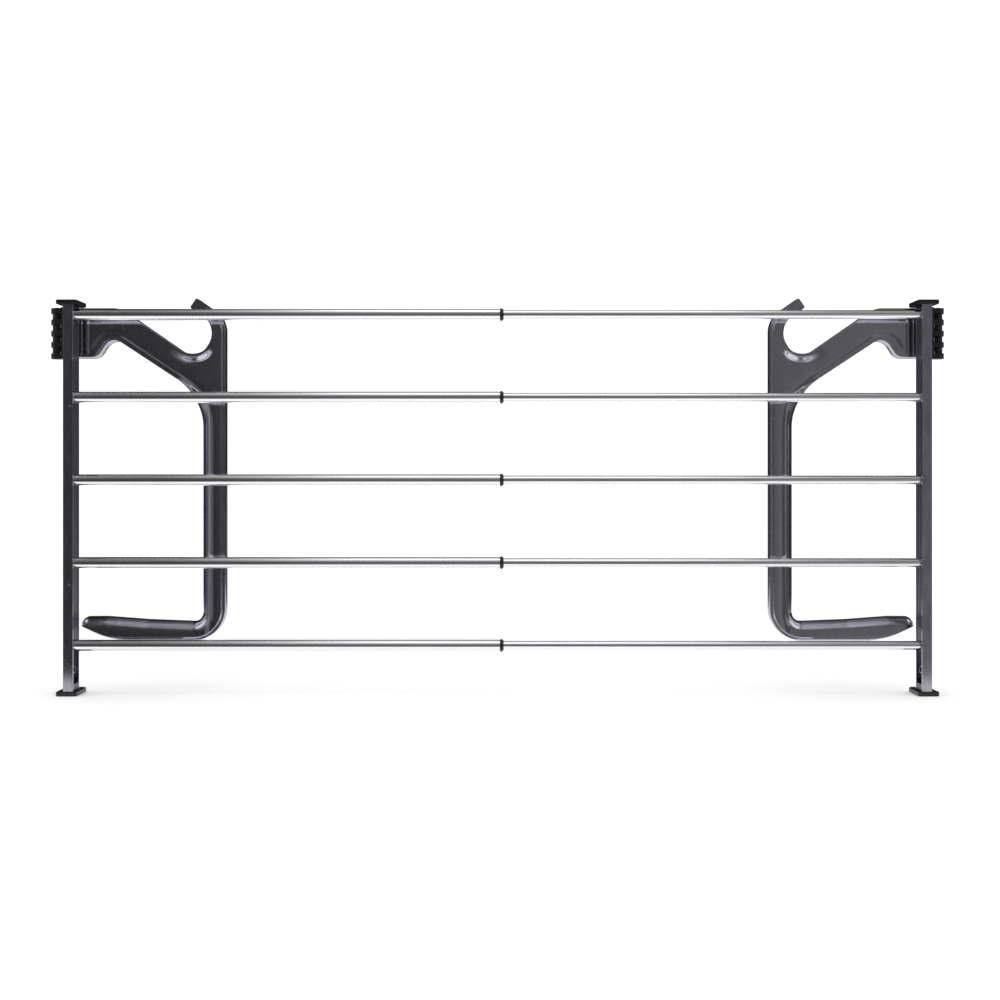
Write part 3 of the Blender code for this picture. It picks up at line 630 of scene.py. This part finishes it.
def arm_corners():
    """The arm's outline as (u, z, radius) corners, anticlockwise from the root's lower end."""
    along = Vector((math.cos(HOOK_TILT), -math.sin(HOOK_TILT)))
    across = Vector((math.sin(HOOK_TILT), math.cos(HOOK_TILT)))
    hook = Vector((HOOK_U, HOOK_Z))
    seat = hook - HOOK_RADIUS * across
    shoulder = seat - along * (ARM_TOP_Z - seat.y) / math.sin(HOOK_TILT)
    floor_low = hook + HOOK_RADIUS * (along - across)
    floor_high = hook + HOOK_RADIUS * (along + across)
    tip_inner = hook + HOOK_RADIUS * across - FINGER_REACH * along
    tip_outer = tip_inner + FINGER_WIDTH * across
    top = tip_outer + along * (LEG_OUTER_U - tip_outer.x) / math.cos(HOOK_TILT)
    return [
        # 0 to 3: the root's lower edge and the neck's, down to the leg
        (ROOT_U, ROOT_LOW_Z, 0.0030),
        (0.0520, ROOT_LOW_Z, 0.0145),
        (0.0723, 0.5080, 0.0167),
        (LEG_INNER_U, 0.4238, 0.0850),
        # 4 to 10: the foot, over its tip and back under it to the leg's outer edge
        (LEG_INNER_U, FOOT_HIGH_Z, 0.0130),
        (0.1225, 0.1030, 0.1000),
        (0.0625, 0.1075, 0.0600),
        (0.0325, 0.1073, 0.0080),
        (0.0245, 0.0953, 0.0050),
        (0.0705, FOOT_LOW_Z, 0.1200),
        (LEG_OUTER_U, FOOT_LOW_Z, 0.0460),
        # 11 to 13: the leg's top bend and the finger's end
        (top.x, top.y, 0.0380),
        (tip_outer.x, tip_outer.y, 0.0030),
        (tip_inner.x, tip_inner.y, 0.0030),
        # 14 to 17: the hook's seat, its shoulder and the root's upper end
        (floor_high.x, floor_high.y, HOOK_RADIUS),
        (floor_low.x, floor_low.y, HOOK_RADIUS),
        (shoulder.x, shoulder.y, 0.0300),
        (ROOT_U, ARM_TOP_Z, 0.0030),
    ]


def fine_outline():
    """Points along the outline, each with its inward normal and its place q."""
    corners = arm_corners()
    count = len(corners)
    found, arcs = [], []
    touching = 1e-5
    for index, (u, z, radius) in enumerate(corners):
        corner = Vector((u, z))
        before = (Vector(corners[index - 1][:2]) - corner).normalized()
        after = (Vector(corners[(index + 1) % count][:2]) - corner).normalized()
        half = before.angle(after) / 2
        reach = radius / math.tan(half)
        start, end = corner + before * reach, corner + after * reach
        middle = corner + (before + after).normalized() * radius / math.sin(half)
        arcs.append((start, end, middle, radius, math.pi - 2 * half))
    for index, (start, end, middle, radius, angle) in enumerate(arcs):
        coarse = OUTLINE_SPACING * 1.5
        steps = max(3, math.ceil(angle / OUTLINE_TURN), math.ceil(angle * radius / coarse))
        first = start - middle
        sign = 1 if first.cross(end - middle) > 0 else -1
        for step in range(steps + 1):
            spot = middle + first @ Matrix.Rotation(-sign * angle * step / steps, 2)
            inward = (middle - spot).normalized() * sign
            found.append((spot, inward, index - 0.25 + 0.5 * step / steps))
        following = arcs[(index + 1) % count][0]
        length = (following - end).length
        if length < touching:
            found.pop()
            continue
        steps = max(1, math.ceil(length / OUTLINE_SPACING))
        direction = (following - end).normalized()
        inward = Vector((-direction.y, direction.x))
        for step in range(1, steps):
            spot = end + direction * length * step / steps
            found.append((spot, inward, index + 0.25 + 0.5 * step / steps))
    return tuple(np.array(column) for column in zip(*found))


def banked(*knots):
    """A drop that ends at 0, whose slope runs straight between (distance, slope) knots."""
    ds, slopes = np.array(knots).T
    steps = (slopes[1:] + slopes[:-1]) / 2 * np.diff(ds)
    drops = np.append(np.cumsum(steps[::-1])[::-1], 0)

    def drop(d):
        index = np.clip(np.searchsorted(ds, d, side="right") - 1, 0, len(ds) - 2)
        x = np.clip(d - ds[index], 0, ds[index + 1] - ds[index])
        rate = (slopes[index + 1] - slopes[index]) / (ds[index + 1] - ds[index])
        return np.maximum(drops[index] - slopes[index] * x - rate * x * x / 2, 0)

    return drop


# How an arm's face drops toward each kind of edge, as (distance, slope). A positive slope rises
# going inward
PROFILES = {
    "edge": banked((0, 0.5), (0.0004, 0.1), (0.0008, 0)),
    "plain": banked((0, 2.4), (0.0003, 1.6), (0.0007, 0.2), (0.0011, 0)),
    "sill": banked((0, 2.6), (0.0005, 1.4), (0.0014, 0.22), (0.0020, 0)),
    "bead": banked(
        (0, 2.6), (0.0005, 1.4), (0.0014, 0.25), (0.0020, 0), (0.0030, -0.20), (0.0048, -0.1),
        (0.0062, 0.10), (0.0078, 0.02), (0.0110, 0.03), (0.0130, 0.14), (0.0150, 0.12), (0.0180, 0),
    ),
    "flange": banked(
        (0, 1.2), (0.0003, 0.5), (0.0007, 0.02), (0.0056, 0.02), (0.0066, 0.20), (0.0086, 0.17),
        (0.0104, 0.02), (0.0150, 0),
    ),
    "leg": banked(
        (0, 3.2), (0.0010, 2.4), (0.0030, 1.4), (0.0045, 0.95), (0.0080, 0.50), (0.0130, 0.22),
        (0.0170, 0.09), (0.0220, 0),
    ),
    "foot": banked(
        (0, 4.4), (0.0016, 3.0), (0.0026, 2.0), (0.0038, 1.15), (0.0060, 0.86), (0.0095, 0.72),
        (0.0115, 0.32), (0.0150, 0.10), (0.0260, 0.02),
    ),
    "sole": banked((0, 3.5), (0.0008, 2.6), (0.0018, 1.0), (0.0024, 0), (0.0150, 0)),
    "rim": banked(
        (0, 2.6), (0.0004, 1.6), (0.0008, 0.10), (0.0013, -0.10), (0.0026, -0.09), (0.0033, 0),
        (0.0040, 2.2), (0.0052, 1.9), (0.0058, 0), (0.0070, -0.03), (0.0140, -0.02), (0.0180, 0),
    ),
    "tip": banked(
        (0, 3.6), (0.0022, 2.6), (0.0034, 1.0), (0.0044, 0.5), (0.0060, 0.15), (0.0140, 0.1),
        (0.0200, 0),
    ),
    "hook": banked(
        (0, 2.4), (0.0003, 1.6), (0.0007, 0.05), (0.0030, 0.05), (0.0052, 0.55), (0.0072, 0.88),
        (0.0102, 0.85), (0.0128, 0.50), (0.0150, 0.12), (0.0190, 0),
    ),
    "back": banked(
        (0, 2.4), (0.0010, 1.3), (0.0026, 0.2), (0.0042, 0), (0.0048, -0.5), (0.0052, 0),
        (0.0058, 0.5), (0.0064, 0), (0.0100, 0),
    ),
}

# The outline's sides, which drop together where they meet: the profile at each q along the side
FRONT_SIDES = (
    (
        (0.0, "sill"), (0.7, "sill"), (1.1, "bead"), (1.9, "bead"), (2.25, "flange"),
        (2.75, "flange"), (3.15, "leg"), (3.85, "leg"), (4.2, "foot"), (7.0, "foot"),
    ),
    ((7.0, "tip"), (8.0, "tip")),
    (
        (8.0, "sole"), (9.65, "sole"), (9.85, "rim"), (11.15, "rim"), (11.45, "edge"), (12.0, "edge"),
    ),
    ((12.0, "edge"), (13.0, "edge")),
    (
        (13.0, "edge"), (13.9, "edge"), (14.3, "plain"), (14.76, "plain"), (14.89, "hook"),
        (15.04, "hook"), (15.32, "plain"), (17.0, "plain"),
    ),
    ((17.0, "plain"), (LAST_PLACE, "plain")),
)
BACK_SIDES = tuple(((side[0][0], "back"), (side[-1][0], "back")) for side in FRONT_SIDES)


def nearest_on(polyline, places, points):
    """Distance, inward direction and place q of the nearest point of a polyline to each point."""
    starts, steps = polyline[:-1], np.diff(polyline, axis=0)
    size = (steps**2).sum(1)
    batch, tiny = 4000, 1e-12
    found = []
    for first in range(0, len(points), batch):
        part = points[first : first + batch]
        offset = part[:, None, :] - starts[None]
        t = np.clip((offset * steps[None]).sum(2) / size, 0, 1)
        away = offset - t[..., None] * steps[None]
        distance = np.sqrt((away**2).sum(2))
        index = distance.argmin(1)
        rows = np.arange(len(part))
        nearest, along = distance[rows, index], t[rows, index]
        inward = away[rows, index] / np.maximum(nearest, tiny)[:, None]
        place = places[index] * (1 - along) + places[index + 1] * along
        found.append((nearest, inward, place))
    return tuple(np.concatenate(column) for column in zip(*found))


def smooth_step(x, start, end):
    """Rises smoothly from 0 at start to 1 at end."""
    t = np.clip((x - start) / (end - start), 0, 1)
    return t * t * (3 - 2 * t)


def front_features(points):
    """Local reliefs on the arm's front that don't follow the outline, as a drop."""
    u, z = points[:, 0], points[:, 1]
    # A groove and a ridge run up the root, beside the hinge's plate
    groove_depth, ridge_height = 0.0012, 0.0006
    on_root = 1 - smooth_step(u, 0.050, 0.058)
    ends = smooth_step(z, 0.4795, 0.4845) * (1 - smooth_step(z, 0.5410, 0.5460))
    groove = smooth_step(u, 0.0285, 0.0300) * (1 - smooth_step(u, 0.0325, 0.0345))
    ridge = smooth_step(u, 0.0330, 0.0355) * (1 - smooth_step(u, 0.0380, 0.0410))
    drop = ends * on_root * (groove_depth * groove - ridge_height * ridge)
    # The leg's rounded body starts below the web with a domed end, and its crest is one-sided
    crest_u, crest_z, radius, crest_height = 0.2165, 0.4200, 0.0105, 0.0010
    outward = smooth_step(z, crest_z - 0.012, crest_z)
    beside = np.minimum(u - crest_u, 0) + np.maximum(u - crest_u, 0) * outward
    inside = np.hypot(beside, np.maximum(z - crest_z, 0))
    below_web = 1 - smooth_step(z, crest_z + 0.010, crest_z + 0.016)
    within_rim = 1 - smooth_step(u, 0.2280, 0.2302)
    crest = (1 - smooth_step(inside, radius * 0.35, radius * 1.15)) * (below_web * within_rim)
    drop -= crest_height * crest
    # The finger is thinner than the leg, beyond a slanting step
    step_u, step_z, step_slope, step_depth = 0.2230, 0.5228, 0.30, 0.0016
    slant = (z - step_z) - step_slope * (u - step_u)
    finger = smooth_step(slant, 0.0, 0.0012) * smooth_step(u, 0.165, 0.170)
    drop += step_depth * finger
    return drop


def no_features(points):
    """The cover has no relief but its border's."""
    return np.zeros(len(points))


def relief(points, outline, places, sides, features):
    """The drop at each point and its slopes. The sides' drops add up as powers of them."""
    power, least, tolerance = 4.0, 1e-30, 1e-9
    profile_step, feature_step = 2e-5, 5e-5
    total = np.zeros(len(points))
    slope = np.zeros((len(points), 2))
    for side in sides:
        start, end = side[0][0], side[-1][0]
        on_side = (places >= start - tolerance) & (places <= end + tolerance)
        line, at = outline[on_side], places[on_side]
        if end == LAST_PLACE:
            line, at = np.vstack([line, outline[:1]]), np.append(at, LAST_PLACE)
        distance, inward, q = nearest_on(line, at, points)
        farther, nearer = distance + profile_step, np.maximum(distance - profile_step, 0)
        span = profile_step + np.minimum(distance, profile_step)
        knots = [knot for knot, _ in side]
        drop, steep = np.zeros(len(points)), np.zeros(len(points))
        for number, (_, kind) in enumerate(side):
            weight = np.interp(q, knots, np.eye(len(knots))[number])
            profile = PROFILES[kind]
            drop += weight * profile(distance)
            steep += weight * (profile(farther) - profile(nearer)) / span
        total += drop**power
        slope += (drop ** (power - 1) * steep)[:, None] * inward
    total = np.maximum(total, least)
    slope = slope * (total ** (1 / power - 1))[:, None]
    for axis in (0, 1):
        move = np.zeros(2)
        move[axis] = feature_step
        slope[:, axis] += (features(points + move) - features(points - move)) / (2 * feature_step)
    return total ** (1 / power) + features(points), slope


def contains(outline, points):
    """Whether each point is inside the outline."""
    inside = np.zeros(len(points), bool)
    for a, b in zip(outline, np.roll(outline, -1, axis=0)):
        crosses = (a[1] > points[:, 1]) != (b[1] > points[:, 1])
        with np.errstate(divide="ignore", invalid="ignore"):
            where = a[0] + (points[:, 1] - a[1]) / (b[1] - a[1]) * (b[0] - a[0])
        inside ^= crosses & (points[:, 0] < where)
    return inside


def arm_plan():
    """The triangles that fill the outline, on its own points, on rings inside it and on a grid."""
    outline, normals, places = fine_outline()
    closed, at = np.vstack([outline, outline[:1]]), np.append(places, LAST_PLACE)
    kept = [outline]
    for ring in RINGS:
        moved = outline + normals * ring
        distance = nearest_on(closed, at, moved)[0]
        # A point that another side is nearer to isn't on the ring
        good = moved[distance > ring * NEARLY]
        spaced, last = [], None
        room = min(WIDEST_ROOM, EDGE_ROOM + ring * ROOM_GROWTH)
        for point in good:
            if last is None or np.hypot(*(point - last)) > room:
                spaced.append(point)
                last = point
        kept.append(np.array(spaced))
    low, high = outline.min(0), outline.max(0)
    us, zs = np.meshgrid(*(np.arange(a, b, GRID_PITCH) for a, b in zip(low, high)))
    us = us + (np.arange(us.shape[0]) % 2 * GRID_PITCH / 2)[:, None]
    grid = np.column_stack([us.ravel(), zs.ravel()])
    kept.append(grid[contains(outline, grid) & (nearest_on(closed, at, grid)[0] > GRID_INSET)])
    points = [Vector(point) for point in np.vstack(kept)]
    made = delaunay_2d_cdt(points, loop_edges(len(outline)), [], INSIDE_ONLY, NEAR_POINT)
    return outline, normals, places, np.array([tuple(v) for v in made[0]]), made[2], made[3]


def orient(mesh, normals):
    """Turns each face to agree with its corners' normals."""
    shape = bmesh.new()
    shape.from_mesh(mesh)
    shape.verts.ensure_lookup_table()
    for face in shape.faces:
        face.normal_update()
        wanted = sum((Vector(normals[v.index]) for v in face.verts), Vector())
        if face.normal.dot(wanted) < 0:
            face.normal_flip()
    shape.to_mesh(mesh)
    shape.free()


def shell_mesh(side, plan, level, direction, seam, sides, features):
    """One closed half of an arm, whose face is at a level in y and drops toward the seam."""
    outline, normals, places, points, triangles, origins = plan
    count = len(outline)
    drop, slope = relief(points, outline, places, sides, features)
    verts = [(u, level + direction * d, z) for (u, z), d in zip(points, drop)]
    facing = [Vector((s[0], -direction, s[1])).normalized() for s in slope]
    faces = [tuple(triangle) for triangle in triangles]
    # The face's points on the outline turn their normals outward, to meet the wall's
    edge_tilt, wall_tilt = 0.35, 1500
    vert_of = {source: k for k, sources in enumerate(origins) for source in sources if source < count}
    ring = [vert_of[i] for i in range(count)]
    for k, normal in zip(ring, normals):
        facing[k] = Vector((-normal[0], -edge_tilt * direction, -normal[1])).normalized()

    def add_ring(inset, y, tilt, flat=False):
        """Points along the outline, joined to the ring before."""
        made = list(range(len(verts), len(verts) + count))
        for (u, z), (inward_u, inward_z) in zip(outline, normals):
            verts.append((u + inward_u * inset, y, z + inward_z * inset))
            turn = (0, direction, 0) if flat else (-inward_u, direction * tilt, -inward_z)
            facing.append(Vector(turn).normalized())
        faces.extend((ring[i], made[i], made[j], ring[j]) for i, j in loop_edges(count))
        return made

    for inset, short in SHELL_WALL:
        ring = add_ring(inset, seam - direction * short, inset * wall_tilt)
    last_inset = SHELL_WALL[-1][0]
    ring = add_ring(last_inset, seam, 0, flat=True)
    inner = [Vector(point) for point in outline + normals * last_inset]
    closing = delaunay_2d_cdt(inner, loop_edges(count), [], INSIDE_ONLY, SAME_POINT)
    faces += [tuple(ring[min(closing[3][k])] for k in face) for face in closing[2]]
    facing = [(-side * n[0], n[1], n[2]) for n in facing]
    mesh = bpy.data.meshes.new("mesh")
    mesh.from_pydata([(side * (PIN_X - u), y, z) for u, y, z in verts], [], faces)
    orient(mesh, facing)
    mesh.polygons.foreach_set("use_smooth", [True] * len(mesh.polygons))
    mesh.normals_split_custom_set_from_vertices(facing)
    return mesh


def make_arm(side, name, body, plan):
    """The front shell with its hook, neck, leg and foot, and the cover that closes it."""
    front = shell_mesh(side, plan, ARM_FRONT, 1, ARM_SEAM - GAP / 2, FRONT_SIDES, front_features)
    piece(f"{name}_arm_shell", front, "arm", body, f"{name}_arm")
    back = shell_mesh(side, plan, ARM_BACK, -1, ARM_SEAM + GAP / 2, BACK_SIDES, no_features)
    piece(f"{name}_arm_cover", back, "arm", body, f"{name}_arm_back")


# Assembly


def make_side(name, side, plan, tube_radius):
    """One side's rail, strip, caps, hinge, arm and fasteners."""
    body, arm_body = f"{name}_frame", f"{name}_arm_body"
    make_rail(side, name, body)
    make_strip(side, name, body, tube_radius)
    foot, top = CAP_THICKNESS, HEIGHT - CAP_THICKNESS
    make_cap(side, f"{name}_bottom_cap", body, 0, (foot - CAP_SUNK, foot + CAP_FOOT_PLUG))
    make_cap(side, f"{name}_top_cap", body, top, (top - CAP_TOP_PLUG, top + CAP_SUNK))
    for number, z in enumerate(DRIVE_PIN_ZS, start=1):
        seat = (side * DRIVE_PIN_X, RAIL_Y - RAIL_HALF, z)
        node = f"{name}_drive_pin_{number}"
        stud(f"{node}_rivet", "pin", seat, (0, -1, 0), body, node, PIN_SHANK)
    make_rail_leaf(side, name, body)
    make_arm_leaf(side, name, arm_body)
    for number, z in enumerate(RAIL_SCREW_ZS, start=1):
        seat = (side * (RAIL_OUTER_X + GAP + RAIL_LEAF), PIN_Y + RAIL_SCREW_Y, z)
        node = f"{name}_rail_screw_{number}"
        turn = RAIL_SCREW_TURN * number
        stud(f"{node}_cross", "screw", seat, (side, 0, 0), body, node, SCREW_SHANK, turn)
    seat = (side * PIN_X, PIN_Y, HINGE_HIGH_Z)
    node = f"{name}_hinge_pin"
    stud(f"{name}_pin_head", "hinge", seat, (0, 0, 1), body, node, HINGE_SHANK)
    make_arm(side, name, arm_body, plan)
    for number, (u, z) in enumerate(ARM_SCREWS, start=1):
        seat = (side * (PIN_X - u), ARM_BACK, z)
        node = f"{name}_arm_screw_{number}"
        turn = ARM_SCREW_TURN * number
        stud(f"{node}_cross", "screw", seat, (0, 1, 0), arm_body, node, ARM_SCREW_SHANK, turn)


def make_object():
    """Both sides, the tubes and collars, and the material of the CAD's hidden guide bushes."""
    plan = arm_plan()
    make_side("left", SIDES["left"], plan, OUTER_RADIUS)
    make_side("right", SIDES["right"], plan, INNER_RADIUS)
    for number, z in enumerate(TUBE_ZS, start=1):
        make_tube(number, z, "outer", "left_frame")
        make_tube(number, z, "inner", "right_frame")
        make_collar(number, z, "left_frame")
        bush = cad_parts[f"guide_bush_{number}"]
        bush.data.materials.clear()
        bush.data.materials.append(LOOKS["strip"].material)


# Studio


# The floor's width and depth, and how far it comes forward: the arms' mirrored rays pass beyond it
FLOOR_SIZE, FLOOR_FRONT, FLOOR_DROP, FLOOR_SHADE = (2.6, 1.5), 0.20, 0.0002, 0.96
FLOOR_ROUGHNESS, BACKDROP_STRENGTH = 0.9, 1.15
# The softboxes: place, target, size and power
SOFTBOXES = {
    "overhead": ((0.1, -0.30, 2.4), (0, -0.10, 0.2), (1.2, 0.8), 2.6),
    "left_box": ((-2.1, -1.3, 0.8), (-0.2, 0, 0.3), (1.0, 1.6), 1.1),
    "right_box": ((2.1, -1.3, 0.8), (0.2, 0, 0.3), (1.0, 1.6), 0.9),
}
LENS, SENSOR, CAMERA_SHIFT, CAMERA_PLACE = 49.6, 36, -0.02, (0.0035, -1.9595, 0.303)

# Radiance of the room that shiny surfaces mirror, by angle in degrees: 0 is in front of the object,
# 90 above it, 180 behind it and -90 below it. One list for each way that the mirrored ray leans
ROOM = {
    "far_left": (
        (-180, 0.04), (-120, 0.06), (-90, 0.30), (-60, 0.40), (-30, 0.32), (-8, 0.22), (4, 0.17),
        (22, 0.24), (40, 0.9), (60, 1.6), (90, 1.6), (105, 0.60), (125, 0.10), (180, 0.04),
    ),
    "left": (
        (-180, 0.12), (-150, 0.10), (-128, 0.50), (-100, 1.1), (-48, 1.1), (-38, 0.60), (-28, 0.08),
        (-12, 0.016), (0, 0.032), (20, 0.060), (42, 0.09), (60, 0.19), (75, 0.17), (90, 0.04),
        (112, 0.02), (140, 0.01), (180, 0.01),
    ),
    "middle": (
        (-180, 0.40), (-150, 0.30), (-128, 0.90), (-100, 1.2), (-48, 1.2), (-38, 0.80), (-28, 0.25),
        (-12, 0.09), (0, 0.11), (20, 0.15), (42, 0.42), (60, 1.10), (75, 1.05), (91, 0.60),
        (105, 0.45), (122, 0.50), (138, 0.12), (180, 0.03),
    ),
    "right": (
        (-180, 0.30), (-150, 0.20), (-128, 0.80), (-100, 1.2), (-48, 1.1), (-38, 0.75), (-25, 0.42),
        (-12, 0.32), (0, 0.22), (20, 0.18), (42, 0.20), (65, 0.36), (85, 0.26), (100, 0.14),
        (112, 0.10), (130, 0.05), (180, 0.03),
    ),
    "far_right": (
        (-180, 0.04), (-120, 0.06), (-90, 0.30), (-60, 0.30), (-30, 0.14), (0, 0.09), (25, 0.25),
        (40, 0.9), (60, 1.6), (90, 1.6), (105, 0.60), (125, 0.10), (180, 0.04),
    ),
}
# Where one list gives way to the next, by the ray's sideways lean
LEANS = ((-0.44, -0.33), (-0.26, -0.08), (0.11, 0.26), (0.33, 0.44))


def set_range(node, low, high):
    """The values that a Map Range node takes to 0 and 1."""
    node.inputs["From Min"].default_value, node.inputs["From Max"].default_value = low, high


def surround_color(tree):
    """The room's radiance as a colour, from the direction of the ray."""
    new, link = tree.nodes.new, tree.links.new
    place, split = new("ShaderNodeTexCoord"), new("ShaderNodeSeparateXYZ")
    link(place.outputs["Generated"], split.inputs["Vector"])
    front, turn = new("ShaderNodeMath"), new("ShaderNodeMath")
    front.operation, front.inputs[1].default_value = "MULTIPLY", -1
    link(split.outputs["Y"], front.inputs[0])
    turn.operation = "ARCTAN2"
    link(split.outputs["Z"], turn.inputs[0])
    link(front.outputs["Value"], turn.inputs[1])
    spread = new("ShaderNodeMapRange")
    set_range(spread, -math.pi, math.pi)
    link(turn.outputs["Value"], spread.inputs["Value"])
    for stops, leans in zip(ROOM.values(), (None, *LEANS)):
        ramp = new("ShaderNodeValToRGB")
        elements = ramp.color_ramp.elements
        for _ in stops[2:]:
            elements.new(0.5)
        for element, (angle, value) in zip(elements, stops):
            element.position = (angle + 180) / 360
            element.color = (value, value, value, 1)
        link(spread.outputs["Result"], ramp.inputs["Fac"])
        if leans is None:
            color = ramp.outputs["Color"]
            continue
        lean, blend = new("ShaderNodeMapRange"), new("ShaderNodeMixRGB")
        lean.interpolation_type = "SMOOTHSTEP"
        set_range(lean, *leans)
        link(split.outputs["X"], lean.inputs["Value"])
        link(lean.outputs["Result"], blend.inputs["Fac"])
        link(color, blend.inputs["Color1"])
        link(ramp.outputs["Color"], blend.inputs["Color2"])
        color = blend.outputs["Color"]
    return color


def make_floor():
    """A pale sheet of paper under the object."""
    shape = bmesh.new()
    bmesh.ops.create_grid(shape, x_segments=8, y_segments=8, size=0.5)
    bmesh.ops.scale(shape, verts=shape.verts, vec=(*FLOOR_SIZE, 1))
    floor = in_scene("floor", shape_mesh(shape))
    floor.location = (0, FLOOR_SIZE[1] / 2 - FLOOR_FRONT, -FLOOR_DROP)
    paper = bpy.data.materials.new("studio_paper")
    paper.use_nodes = True
    shader = paper.node_tree.nodes["Principled BSDF"]
    shader.inputs["Base Color"].default_value = (*(FLOOR_SHADE,) * 3, 1)
    shader.inputs["Roughness"].default_value = FLOOR_ROUGHNESS
    floor.data.materials.append(paper)


def make_world():
    """A white surround, in whose place shiny surfaces mirror the room."""
    world = bpy.data.worlds.new("studio")
    bpy.context.scene.world = world
    world.use_nodes = True
    tree = world.node_tree
    new, link = tree.nodes.new, tree.links.new
    room, seen = tree.nodes["Background"], new("ShaderNodeBackground")
    link(surround_color(tree), room.inputs["Color"])
    seen.inputs["Color"].default_value = (1, 1, 1, 1)
    seen.inputs["Strength"].default_value = BACKDROP_STRENGTH
    rays, mix = new("ShaderNodeLightPath"), new("ShaderNodeMixShader")
    link(rays.outputs["Is Glossy Ray"], mix.inputs["Fac"])
    link(seen.outputs["Background"], mix.inputs[1])
    link(room.outputs["Background"], mix.inputs[2])
    link(mix.outputs["Shader"], tree.nodes["World Output"].inputs["Surface"])


def make_softbox(name, place, target, size, power):
    """A rectangular light that faces its target."""
    light = bpy.data.lights.new(name, "AREA")
    light.shape, light.size, light.size_y, light.energy = "RECTANGLE", *size, power
    obj = in_scene(name, light)
    obj.location = place
    obj.rotation_euler = (Vector(target) - Vector(place)).to_track_quat("-Z", "Y").to_euler()


def make_camera():
    """The camera straight in front, as in the photo."""
    camera = bpy.data.cameras.new("camera")
    camera.lens, camera.sensor_width, camera.shift_y = LENS, SENSOR, CAMERA_SHIFT
    eye = in_scene("camera", camera)
    eye.location = CAMERA_PLACE
    eye.rotation_euler = (math.radians(90), 0, 0)
    bpy.context.scene.camera = eye
    bpy.context.scene.view_settings.view_transform = "Standard"


make_object()
make_floor()
make_world()
for box_name, settings in SOFTBOXES.items():
    make_softbox(box_name, *settings)
make_camera()
